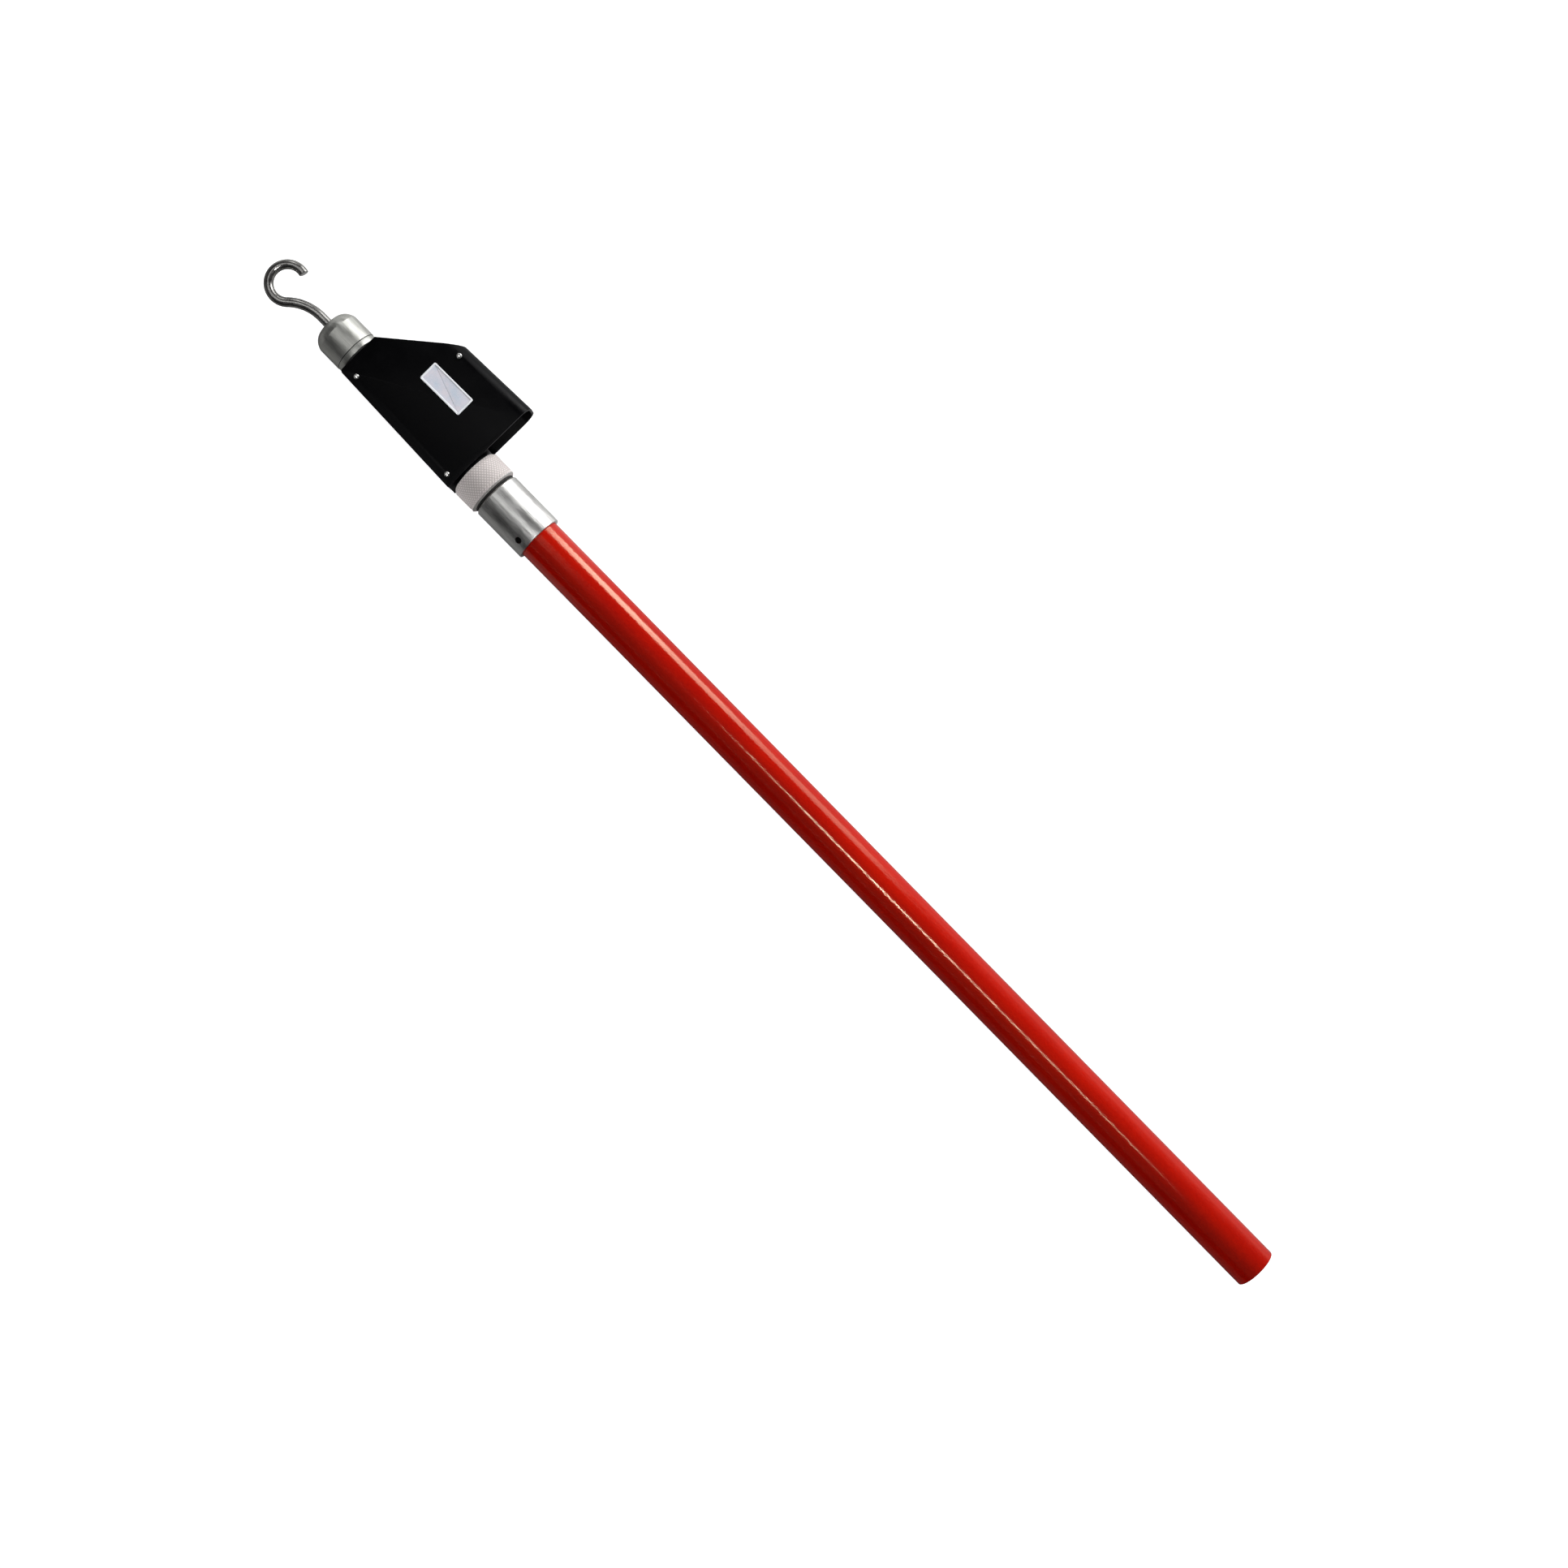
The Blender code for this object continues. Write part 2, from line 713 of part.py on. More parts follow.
def make_frame():
    """Walls that close the hood's edges, carry the lamp shelf and take the cover's screws."""
    outline = [
        Vector((frame_start, left_side(frame_start))),
        Vector((frame_start, partition)),
        Vector((shelf_start, partition)),
        Vector((shelf_start, wide_side(shelf_start))),
        corner.copy(),
        shoulder.copy(),
        Vector((hood_end, left_side(hood_end))),
    ]
    gaps = [0.0, 0.0, 0.0, HOOD_WALL + CLEARANCE, FRAME_INSET, FRAME_INSET, FRAME_INSET]
    outer = inset(outline, gaps)
    inner = inset(outline, [gap + FRAME_WALL for gap in gaps])
    outer = rounded(outer, len(outer) - 1, HOOD_CORNER)
    frame = flat("hood_frame", [outer, inner], -hood_half, hood_half, parts)
    boss_end = hood_half - HOOD_WALL - CLEARANCE - BOSS_DEPTH
    for label, place in screw_places().items():
        for side in (1, -1):
            boss = cylinder(
                f"boss_{label}_{side}",
                (*place, side * (hood_half + boss_end) / 2),
                (0.0, 0.0, 1.0),
                BOSS_RADIUS,
                hood_half - boss_end,
                16,
            )
            combine(frame, boss, "UNION")
    room = hood_wrap(
        "cover_room",
        HOOD_WALL + CLEARANCE,
        hood_start - HOOD_CORNER,
        hood_end + HOOD_CORNER,
        HOOD_BEND,
        True,
        cutters,
    )
    combine(frame, room, "INTERSECT")
    middle = (frame_start + hood_end) / 2
    bore = cylinder("tube_bore", (middle, 0.0, 0.0), (1.0, 0.0, 0.0), sleeved_radius, 2 * HOOD_LENGTH, 32)
    combine(frame, bore)
    window = cylinder(
        "lens_hole",
        (shelf_start, -LAMP_ACROSS, 0.0),
        (1.0, 0.0, 0.0),
        LENS_RADIUS + CLEARANCE,
        4 * FRAME_WALL,
        24,
    )
    combine(frame, window)
    for label, place in screw_places().items():
        hole = cylinder(
            f"boss_hole_{label}",
            (*place, 0.0),
            (0.0, 0.0, 1.0),
            SCREW_RADIUS + CLEARANCE,
            4 * hood_half,
            12,
        )
        combine(frame, hole)
    finish(smooth(frame, math.radians(25)), "black", head)


def make_screws():
    """Pan head screws, three on the front and three on the back."""
    for side, face in ((1, "front"), (-1, "back")):
        for label, place in screw_places().items():
            seat = CLEARANCE / 2
            dome = [
                (
                    seat + SCREW_HEAD_HEIGHT * math.cos(a),
                    SCREW_HEAD_RADIUS * math.sin(a) ** 0.6,
                )
                for a in (math.radians(d) for d in (35, 65, 90))
            ]
            profile = [
                (seat + SCREW_HEAD_HEIGHT, 0.0),
                *dome,
                (seat, SCREW_RADIUS),
                (seat - SCREW_LENGTH, SCREW_RADIUS),
                (seat - SCREW_LENGTH, 0.0),
            ]
            screw = turned(f"screw_{face}_{label}", profile, steps=12)
            screw.rotation_euler = (0.0 if side > 0 else math.pi, 0.0, 0.0)
            screw.location = (*place, side * hood_half)
            finish(smooth(screw), "bright", head)


def make_plate():
    """Rating plate with a raised border and a bare field."""
    half_length, half_width = PLATE_LENGTH / 2, PLATE_WIDTH / 2

    def rectangle(margin, radius):
        x, y = half_length - margin, half_width - margin
        corners = [Vector((-x, -y)), Vector((x, -y)), Vector((x, y)), Vector((-x, y))]
        for index in (3, 2, 1, 0):
            corners = rounded(corners, index, radius, 3)
        return corners

    seat = hood_half + CLEARANCE / 3
    plate = flat("rating_plate", [rectangle(0.0, PLATE_CORNER)], seat, seat + PLATE_THICKNESS, parts)
    field = flat(
        "plate_field",
        [rectangle(PLATE_BORDER, PLATE_CORNER / 2)],
        seat + PLATE_THICKNESS - PLATE_RECESS,
        seat + 2 * PLATE_THICKNESS,
        cutters,
    )
    for thing in (plate, field):
        thing.location.x = hood_end - PLATE_FROM_TOP
        thing.location.y = -PLATE_ACROSS
        thing.rotation_euler.z = PLATE_TURN
    combine(plate, field)
    finish(plate, "plate", head)


def make_lamp():
    """Lens, reflector, lampholder and glow lamp, all turned about the lamp's own line."""
    across = -LAMP_ACROSS
    tip = shelf_start - LENS_HEIGHT
    inner_radius = LENS_RADIUS - LENS_WALL
    quarter = [math.radians(d) for d in (90, 72, 54, 36, 18)]
    outer = [(shelf_start - LENS_HEIGHT * math.cos(a), LENS_RADIUS * math.sin(a)) for a in quarter]
    inner = [
        (shelf_start - (LENS_HEIGHT - LENS_WALL) * math.cos(a), inner_radius * math.sin(a))
        for a in reversed(quarter)
    ]
    lens = turned(
        "lamp_lens",
        [
            (tip + LENS_WALL, 0.0),
            *inner,
            (flange_seat + LENS_WALL, inner_radius),
            (flange_seat + LENS_WALL, LENS_RADIUS + LENS_FLANGE),
            (flange_seat, LENS_RADIUS + LENS_FLANGE),
            (flange_seat, LENS_RADIUS),
            *outer,
            (tip, 0.0),
        ],
        across,
        24,
    )
    rim = LENS_RADIUS + LENS_FLANGE
    mouth = rim - HOLDER_WALL
    throat = LAMP_BASE_RADIUS + CLEARANCE
    neck_start = base_start + LAMP_BASE_LENGTH / 2
    holder = turned(
        "lampholder",
        [
            (holder_end, 0.0),
            (holder_end, HOLDER_NECK - EDGE),
            (holder_end - EDGE, HOLDER_NECK),
            (neck_start, HOLDER_NECK),
            (holder_start + HOLDER_RIM, rim),
            (holder_start, rim),
            (holder_start, mouth),
            (holder_start + HOLDER_RIM, mouth),
            (neck_start, HOLDER_NECK - HOLDER_WALL),
            (neck_start, throat),
            (holder_end - HOLDER_WALL, throat),
            (holder_end - HOLDER_WALL, 0.0),
        ],
        across,
        24,
    )
    wide = mouth - CLEARANCE
    narrow = throat + REFLECTOR_WALL
    start = holder_start
    end = start + REFLECTOR_LENGTH
    reflector = turned(
        "reflector",
        [
            (end, narrow - REFLECTOR_WALL),
            (end, narrow),
            (start + REFLECTOR_WALL, wide),
            (start, wide),
            (start, wide - REFLECTOR_WALL),
        ],
        across,
        24,
    )
    glass_start = base_start - CLEARANCE - LAMP_LENGTH
    bulb = [
        (glass_start + LAMP_RADIUS * (1 - math.sin(a)), LAMP_RADIUS * math.cos(a))
        for a in (math.radians(d) for d in (0, 30, 60))
    ]
    lamp = turned(
        "neon_lamp",
        [
            (base_start - CLEARANCE, 0.0),
            (base_start - CLEARANCE, LAMP_RADIUS),
            *bulb,
            (glass_start, 0.0),
        ],
        across,
        20,
    )
    base = turned("lamp_base", rod_profile(base_start, base_end, LAMP_BASE_RADIUS), across, 20)
    finish(smooth(lens), "lens", head)
    finish(smooth(holder), "black", head)
    finish(smooth(reflector), "bright", head)
    finish(smooth(lamp), "glass", head)
    finish(smooth(base), "brass", head)


def make_resistor():
    """Insulating washer, resistor and its two terminals in the core tube."""
    washer_end = washer_start + WASHER_THICKNESS
    washer = turned("insulating_washer", rod_profile(washer_start, washer_end, bored_radius), steps=24)
    foot_end = foot_start + RESISTOR_FOOT
    foot = turned("resistor_foot", rod_profile(foot_start, foot_end, bored_radius), steps=24)
    body = turned("series_resistor", rod_profile(resistor_start, resistor_end, RESISTOR_RADIUS), steps=24)
    bore = TAIL_RADIUS + CLEARANCE
    sleeve = turned(
        "resistor_sleeve",
        [
            (sleeve_end, bore),
            (sleeve_end, SLEEVE_RADIUS),
            (sleeve_start + SLEEVE_FLANGE, SLEEVE_RADIUS),
            (sleeve_start + SLEEVE_FLANGE, bored_radius),
            (sleeve_start, bored_radius),
            (sleeve_start, 0.0),
            (sleeve_start + SLEEVE_FLOOR, 0.0),
            (sleeve_start + SLEEVE_FLOOR, bore),
        ],
        steps=24,
    )
    finish(smooth(washer), "phenolic", head)
    finish(smooth(foot), "brass", head)
    finish(smooth(body), "ceramic", head)
    finish(smooth(sleeve), "brass", head)


def make_leads():
    """Insulated leads from the resistor's foot to the lamp, and from the lamp to the spigot's pin."""
    inside = -(RESISTOR_RADIUS + core_bore) / 2
    seat = holder_end + CLEARANCE
    turn = 3 * LEAD_RADIUS
    live = [
        Vector((foot_start + RESISTOR_FOOT + CLEARANCE, inside, 0.0)),
        Vector((resistor_start + (resistor_end - resistor_start) / 4, inside, 0.0)),
        Vector((lead_exit - 2 * turn, inside, LEAD_SPACING)),
        Vector((lead_exit - turn / 2, inside, LEAD_SPACING)),
        Vector((lead_exit, -(core_bore + core_radius) / 2, LEAD_SPACING)),
        Vector((lead_exit, -core_radius - turn / 2, LEAD_SPACING)),
        Vector((lead_exit, -(core_radius + LAMP_ACROSS) / 2, LEAD_SPACING)),
        Vector((lead_exit - LEAD_RADIUS / 2, -LAMP_ACROSS + turn / 2, LEAD_SPACING)),
        Vector((seat + LEAD_RADIUS, -LAMP_ACROSS, LEAD_SPACING)),
        Vector((seat, -LAMP_ACROSS, LEAD_SPACING)),
    ]
    outside = -(core_radius + LEAD_CHANNEL / 2)
    back = [
        Vector((seat, -LAMP_ACROSS, -LEAD_SPACING)),
        Vector((seat + LEAD_RADIUS, -LAMP_ACROSS, -LEAD_SPACING)),
        Vector((lead_exit - LEAD_RADIUS / 2, -LAMP_ACROSS + turn / 2, -LEAD_SPACING)),
        Vector((lead_exit, (outside - LAMP_ACROSS) / 2, -LEAD_SPACING)),
        Vector((lead_exit - LEAD_RADIUS / 2, outside - turn / 2, -LEAD_SPACING)),
        Vector((lead_exit - 2 * turn, outside, -LEAD_SPACING)),
        Vector(((lead_exit + spigot_pin_at) / 2, outside, -LEAD_SPACING)),
        Vector((spigot_pin_at, outside, 0.0)),
    ]
    for name, knots in (("lead_live", live), ("lead_return", back)):
        lead = wire(name, smooth_path(knots, 4), LEAD_RADIUS, 1, parts)
        finish(lead, "rubber", head)


def make_top():
    """Gasket, clamp ring, end cap, contact plunger and hook."""
    gasket = turned(
        "hood_gasket",
        tube_profile(gasket_start, gasket_start + GASKET_THICKNESS, sleeved_radius, cap_radius),
        steps=40,
    )
    ring = turned(
        "clamp_ring",
        tube_profile(ring_start, ring_start + RING_LENGTH, sleeved_radius, cap_radius - RING_STEP, EDGE),
        steps=40,
    )
    hook_bore = HOOK_RADIUS + HOOK_FIT
    quarter = [math.radians(d) for d in (90, 75, 60, 45, 30, 15, 0)]
    dome = [
        (
            cap_end - CAP_DOME + CAP_DOME * math.sin(a),
            CAP_FLAT + (cap_radius - CAP_FLAT) * math.cos(a),
        )
        for a in quarter
    ]
    cap = turned(
        "end_cap",
        [
            (cap_end, hook_bore),
            *dome,
            (cap_start + EDGE, cap_radius),
            (cap_start, cap_radius - EDGE),
            (cap_start, sleeved_radius),
            (stud_start, sleeved_radius),
            (stud_start, hook_bore),
        ],
    )
    plunger = turned(
        "contact_plunger",
        [
            (plunger_end, 0.0),
            (plunger_end, PLUNGER_PIN_RADIUS),
            (plunger_flange_end, PLUNGER_PIN_RADIUS),
            (plunger_flange_end, PLUNGER_FLANGE_RADIUS),
            (plunger_flange_start, PLUNGER_FLANGE_RADIUS),
            (plunger_flange_start, TAIL_RADIUS),
            (sleeve_start + SLEEVE_FLOOR + CLEARANCE, TAIL_RADIUS),
            (sleeve_start + SLEEVE_FLOOR + CLEARANCE, 0.0),
        ],
        steps=24,
    )
    finish(smooth(gasket), "rubber", head)
    finish(smooth(ring), "aluminium", head)
    finish(smooth(cap), "aluminium", head)
    finish(smooth(plunger), "brass", plunger_body)


def make_hook():
    """Rod bent out of line and round into an open crook, its stud screwed into the cap."""
    bend_start = cap_end + HOOK_SHANK
    reach = math.sqrt((HOOK_BEND + HOOK_RING) ** 2 - (HOOK_BEND - HOOK_OFFSET) ** 2)
    ring_centre = Vector((bend_start + reach, HOOK_OFFSET))
    bend_centre = Vector((bend_start, HOOK_BEND))
    meeting = bend_centre - ring_centre
    meet_angle = math.atan2(meeting.y, meeting.x)
    bend = arc(bend_centre, HOOK_BEND, -math.pi / 2, meet_angle - math.pi, 8)
    crook = arc(ring_centre, HOOK_RING, meet_angle, HOOK_TIP, 28)
    line = [Vector((stud_start, 0.0))] + bend + crook[1:]
    path = [Vector((p.x, p.y, 0.0)) for p in line]
    finish(wire("hook_electrode", path, HOOK_RADIUS, 4, parts), "steel", hook_body)


clear_scene()
parts = new_collection("high_voltage_detector")
cutters = new_collection("cutters")
pole = group_empty("pole")
head = group_empty("head")
nut_body = group_empty("nut")
plunger_body = group_empty("plunger")
hook_body = group_empty("hook")
make_ferrule(*make_pole())
make_nut()
make_spine()
make_cover()
make_frame()
make_screws()
make_plate()
make_lamp()
make_resistor()
make_leads()
make_top()
make_hook()
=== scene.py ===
import math

import bmesh
import bpy
from mathutils import Matrix, Vector


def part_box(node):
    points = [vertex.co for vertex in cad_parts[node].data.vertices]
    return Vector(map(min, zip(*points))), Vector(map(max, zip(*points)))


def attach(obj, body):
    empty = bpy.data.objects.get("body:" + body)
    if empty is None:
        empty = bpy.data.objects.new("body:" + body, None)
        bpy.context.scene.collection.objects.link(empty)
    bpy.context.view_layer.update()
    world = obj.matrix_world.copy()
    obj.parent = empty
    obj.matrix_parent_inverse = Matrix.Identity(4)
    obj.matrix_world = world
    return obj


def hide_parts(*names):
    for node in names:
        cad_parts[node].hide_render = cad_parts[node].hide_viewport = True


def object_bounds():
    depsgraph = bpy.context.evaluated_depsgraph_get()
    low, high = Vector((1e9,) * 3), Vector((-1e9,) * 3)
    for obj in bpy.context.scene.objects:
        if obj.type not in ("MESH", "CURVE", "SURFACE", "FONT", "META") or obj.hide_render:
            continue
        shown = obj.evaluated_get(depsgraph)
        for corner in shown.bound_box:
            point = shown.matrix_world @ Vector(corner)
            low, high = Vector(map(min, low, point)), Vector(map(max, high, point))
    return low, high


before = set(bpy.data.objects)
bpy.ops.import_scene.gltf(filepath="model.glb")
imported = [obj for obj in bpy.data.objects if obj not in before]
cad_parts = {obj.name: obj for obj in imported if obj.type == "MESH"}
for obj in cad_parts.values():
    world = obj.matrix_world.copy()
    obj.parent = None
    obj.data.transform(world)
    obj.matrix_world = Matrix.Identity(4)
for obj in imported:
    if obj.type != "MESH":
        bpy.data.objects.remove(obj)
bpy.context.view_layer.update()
print("frame loaded:", len(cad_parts), "nodes")


# colours, nodes and materials

def hexColour(text):  # sRGB hex to the linear values that a socket takes
    channels = [int(text[i:i + 2], 16) / 255 for i in (0, 2, 4)]
    linear = [c / 12.92 if c <= 0.04045 else ((c + 0.055) / 1.055) ** 2.4 for c in channels]
    return (*linear, 1.0)


def setInputs(tree, node, inputs):  # by name or in order, each to a value or to another node's output
    for key, value in inputs.items() if isinstance(inputs, dict) else enumerate(inputs):
        if isinstance(value, bpy.types.NodeSocket):
            tree.links.new(value, node.inputs[key])
        else:
            node.inputs[key].default_value = value


def addNode(tree, kind, inputs=(), **settings):  # gives the new node's outputs
    node = tree.nodes.new("ShaderNode" + kind)
    for name, value in settings.items():
        setattr(node, name, value)
    setInputs(tree, node, inputs)
    return node.outputs


def newMaterial(name, **sockets):  # a shader with its fixed values on its own sockets
    material = bpy.data.materials.new(name)
    material.use_nodes = True
    tree = material.node_tree
    shader = tree.nodes["Principled BSDF"]
    setInputs(tree, shader, {key.replace("_", " "): value for key, value in sockets.items()})
    return material, tree, shader, addNode(tree, "TexCoord")["Object"]


oneNoise, twoNoises = (0.3, 0.7), (0.75, 1.25)  # what one noise, and the sum of two, mostly keep to


def grain(tree, place, size, stretch=(1, 1, 1), detail=4.0, roughness=0.6):
    # noise whose features are about this size in metres, drawn out along an axis where its stretch is over 1
    scaled = addNode(tree, "Mapping", {"Vector": place, "Scale": [1 / (size * s) for s in stretch]})[0]
    return addNode(tree, "TexNoise", {"Vector": scaled, "Scale": 1.0, "Detail": detail,
                                      "Roughness": roughness})["Fac"]


def dress(tree, shader, tone, gloss, relief):
    # tone is a pattern, its range and the two colours that it mixes; gloss is the same with two roughnesses;
    # relief is how a pattern is raised
    pattern, start, end, dark, pale = tone
    share = addNode(tree, "MapRange", (pattern, start, end, 0, 1))[0]
    colour = addNode(tree, "Mix", {0: share, 6: hexColour(dark), 7: hexColour(pale)}, data_type="RGBA")[2]
    setInputs(tree, shader, {"Base Color": colour, "Roughness": addNode(tree, "MapRange", gloss)[0],
                             "Normal": addNode(tree, "Bump", relief)[0]})


def gelCoatedFibreglass():
    # wound glass tube under pigmented epoxy: glossy red with faint darker and oranger drifts and a fibre print
    look = {"drift": 0.030, "speck": 0.0011, "print": 0.00012}
    material, tree, shader, place = newMaterial("gelCoatedFibreglass", IOR=1.5, Specular_IOR_Level=0.52,
                                                Specular_Tint=hexColour("ffeecb"))
    drift = grain(tree, place, look["drift"], (4, 1, 1))
    speck = grain(tree, place, look["speck"], (1.6, 1, 1), 3.0)
    mixed = addNode(tree, "Math", (drift, speck), operation="ADD")[0]
    dress(tree, shader, (mixed, *twoNoises, "9a0702", "ad1002"), (speck, *oneNoise, 0.07, 0.13),
          {"Height": speck, "Distance": look["print"], "Strength": 0.5})
    return material


def drawnAluminium(name, dark, pale, streak, rough, wave):
    # turned and polished along its length: fine streaks that spread the reflections across it, over the
    # slight waviness of polishing by hand; the streaks are wider than real ones, which wouldn't show
    look = {"cloud": 0.004, "score": 0.00003, "range": (0.7, 1.3)}
    material, tree, shader, place = newMaterial(name, Metallic=1.0)
    lines = grain(tree, place, streak, (60, 1, 1), 5.0, 0.7)
    cloud = grain(tree, place, look["cloud"], (4, 1, 1), 3.0)
    both = addNode(tree, "Math", (lines, cloud), operation="ADD")[0]
    hand = addNode(tree, "Bump", {"Height": cloud, "Distance": wave, "Strength": 1.0})[0]
    dress(tree, shader, (both, *look["range"], dark, pale), (both, *look["range"], *rough),
          {"Height": lines, "Distance": look["score"], "Strength": 0.6, "Normal": hand})
    return material


def knurledAluminium(diamonds, top, rise):
    # pressed by the knurling wheel: matte, faintly pink grey, with painted shade darkening the grooves between the
    # diamonds, and an etched grain, coarser than the real one so that it shows
    look = {"etch": 0.0006, "relief": 0.00004, "groove": (0.45, 0.95), "crestTone": 0.75, "stain": 0.35}
    material, tree, shader, place = newMaterial("knurledAluminium", Metallic=0.12, Diffuse_Roughness=1.0)
    etch = grain(tree, place, look["etch"], detail=5.0)
    parts = addNode(tree, "SeparateXYZ", (place,))
    turn = addNode(tree, "Math", (parts["Z"], parts["Y"]), operation="ARCTAN2")[0]
    column = addNode(tree, "Math", (turn, diamonds / math.pi), operation="MULTIPLY")[0]
    row = addNode(tree, "MapRange", (parts["X"], top, top - rise, 0, 1), clamp=False)[0]
    waves = []
    for way in ("ADD", "SUBTRACT"):  # each wave rises from 0 at a crest to 1 in a groove
        phase = addNode(tree, "Math", (column, row), operation=way)[0]
        waves.append(addNode(tree, "Math", (phase, 1.0), operation="PINGPONG")[0])
    groove = addNode(tree, "Math", waves, operation="MAXIMUM")[0]
    # painted shade: the grooves take the darker colour and the crests the paler one, with the etched stain added
    crest = addNode(tree, "MapRange", (groove, *look["groove"], look["crestTone"], 0))[0]
    stain = addNode(tree, "MapRange", (etch, *oneNoise, 0, look["stain"]))[0]
    grooveShadeAndStain = addNode(tree, "Math", (crest, stain), operation="ADD")[0]
    dress(tree, shader, (grooveShadeAndStain, 0, 1, "a39b99", "ddd7d5"), (etch, *oneNoise, 0.55, 0.7),
          {"Height": etch, "Distance": look["relief"], "Strength": 0.5})
    return material


def drawnMetal(name, dark, pale, rough):
    # drawn, turned or plated: its own colour with darker handling stains and fine die lines, which are
    # wider than real ones so that they show
    look = {"stain": 0.006, "line": 0.0004, "relief": 0.00003}
    material, tree, shader, place = newMaterial(name, Metallic=1.0)
    stain = grain(tree, place, look["stain"], detail=5.0)
    line = grain(tree, place, look["line"], detail=3.0)
    both = addNode(tree, "Math", (stain, line), operation="ADD")[0]
    dress(tree, shader, (both, *twoNoises, dark, pale), (stain, *oneNoise, *rough),
          {"Height": line, "Distance": look["relief"], "Strength": 0.5})
    return material


def stovedBlack():
    # folded sheet with a black satin paint: a fine pebble, coarser than the real one so that it shows,
    # duller and greyer where it is handled
    look = {"pebble": 0.0005, "rub": 0.014, "relief": 0.00003}
    material, tree, shader, place = newMaterial("stovedBlack", IOR=1.5, Specular_IOR_Level=0.08)
    pebble = grain(tree, place, look["pebble"], detail=3.0)
    rub = grain(tree, place, look["rub"], detail=5.0, roughness=0.65)
    dress(tree, shader, (rub, 0.45, 0.8, "010102", "040405"), (rub, *oneNoise, 0.34, 0.5),
          {"Height": pebble, "Distance": look["relief"], "Strength": 0.5})
    return material


def mouldedPlastic(name, dark, pale, rough, size=0.0006):
    # moulded or pressed: even colour with a faint flow and a fine satin surface
    look = {"flow": 0.01, "relief": 0.00003}
    material, tree, shader, place = newMaterial(name, IOR=1.5)
    flow = grain(tree, place, look["flow"], detail=3.0)
    fine = grain(tree, place, size, detail=3.0)
    dress(tree, shader, (flow, *oneNoise, dark, pale), (fine, *oneNoise, *rough),
          {"Height": fine, "Distance": look["relief"], "Strength": 0.4})
    return material


def clearMoulding(name, colour, rough):
    # clear or tinted and see-through, with a slight orange peel
    look = {"peel": 0.003, "relief": 0.00002, "spread": 0.05}
    material, tree, shader, place = newMaterial(name, IOR=1.49, Transmission_Weight=0.85,
                                                Base_Color=hexColour(colour))
    peel = grain(tree, place, look["peel"], detail=2.0)
    dull = addNode(tree, "MapRange", (peel, *oneNoise, rough, rough + look["spread"]))[0]
    bump = addNode(tree, "Bump", {"Height": peel, "Distance": look["relief"], "Strength": 0.3})[0]
    setInputs(tree, shader, {"Roughness": dull, "Normal": bump})
    return material


red = gelCoatedFibreglass()
polished = drawnAluminium("polishedAluminium", "bdbcba", "ecece9", 0.00035, (0.27, 0.46), 0.0003)
capAluminium = drawnAluminium("turnedCapAluminium", "a9aaa4", "dadad5", 0.0005, (0.33, 0.48), 0.00012)
hookSteel = drawnMetal("drawnHookSteel", "6d6c6a", "b8b7b4", (0.18, 0.28))
# dark steel, made darker still as painted shade for the sunk pin holes it sits in
pinSteelWithHoleShade = drawnMetal("darkPinSteelWithHoleShade", "141413", "2b2a29", (0.4, 0.6))
screwSteel = drawnMetal("nickelPlatedSteel", "cfcecb", "efefed", (0.12, 0.22))
black = stovedBlack()
holderBlack = mouldedPlastic("mouldedBlackResin", "0b0b0c", "131314", (0.45, 0.6))
rubber = mouldedPlastic("blackNitrileRubber", "131313", "1d1d1c", (0.6, 0.8), 0.0009)
foam = mouldedPlastic("rigidPoleFoam", "d9c98f", "e8dcae", (0.85, 0.95), 0.0012)
laminate = mouldedPlastic("phenolicLaminate", "4a2814", "643a1f", (0.4, 0.55))
cement = mouldedPlastic("resistorCement", "8a7150", "a18762", (0.55, 0.7))
plateBorder = mouldedPlastic("whitePlateEnamel", "e6e9ee", "f2f4f6", (0.25, 0.35))
plateField = mouldedPlastic("paleGreyPlateFilm", "c3cedc", "dcd6de", (0.22, 0.32))
sheath = mouldedPlastic("redLeadSheath", "7d120c", "93190f", (0.35, 0.45))
brass = drawnMetal("turnedBrass", "a98746", "d2b26b", (0.22, 0.36))
mirrorSteel = drawnMetal("platedReflector", "dddddb", "f2f2f0", (0.06, 0.12))
lensRed = clearMoulding("redPolycarbonate", "e01a10", 0.08)
glass = clearMoulding("neonLampGlass", "f4e2d4", 0.02)
print("materials made")


# meshes

weld = 1e-6  # metres: vertices nearer than this are one


def spun(bm, profile, steps, across=0.0, closed=False):
    # a few vertices joined into a profile of (station, radius), turned a full circle about a line along X
    verts = [bm.verts.new((x, across + r, 0.0)) for x, r in profile]
    edges = [bm.edges.new(pair) for pair in zip(verts, verts[1:])]
    if closed:
        edges.append(bm.edges.new((verts[-1], verts[0])))
    bmesh.ops.spin(bm, geom=verts + edges, cent=(0, across, 0), axis=(1, 0, 0), dvec=(0, 0, 0),
                   angle=2 * math.pi, steps=steps, use_merge=True)
    bmesh.ops.remove_doubles(bm, verts=bm.verts, dist=weld)
    bmesh.ops.recalc_face_normals(bm, faces=bm.faces)


def helix(bm, start, pitch, turns, root, crest, steps):
    # one tooth of a screw thread, spun with a rise; neighbouring turns meet and are merged
    tooth = [(0.0, root), (0.36, crest), (0.50, crest), (0.86, root), (1.0, root)]  # share of the pitch, radius
    verts = [bm.verts.new((start + share * pitch, r, 0.0)) for share, r in tooth]
    edges = [bm.edges.new(pair) for pair in zip(verts, verts[1:])]
    bmesh.ops.spin(bm, geom=verts + edges, cent=(0, 0, 0), axis=(1, 0, 0), dvec=(pitch / steps, 0, 0),
                   angle=2 * math.pi * turns, steps=steps * turns, use_merge=False)
    bmesh.ops.remove_doubles(bm, verts=bm.verts, dist=weld)
    bmesh.ops.recalc_face_normals(bm, faces=bm.faces)


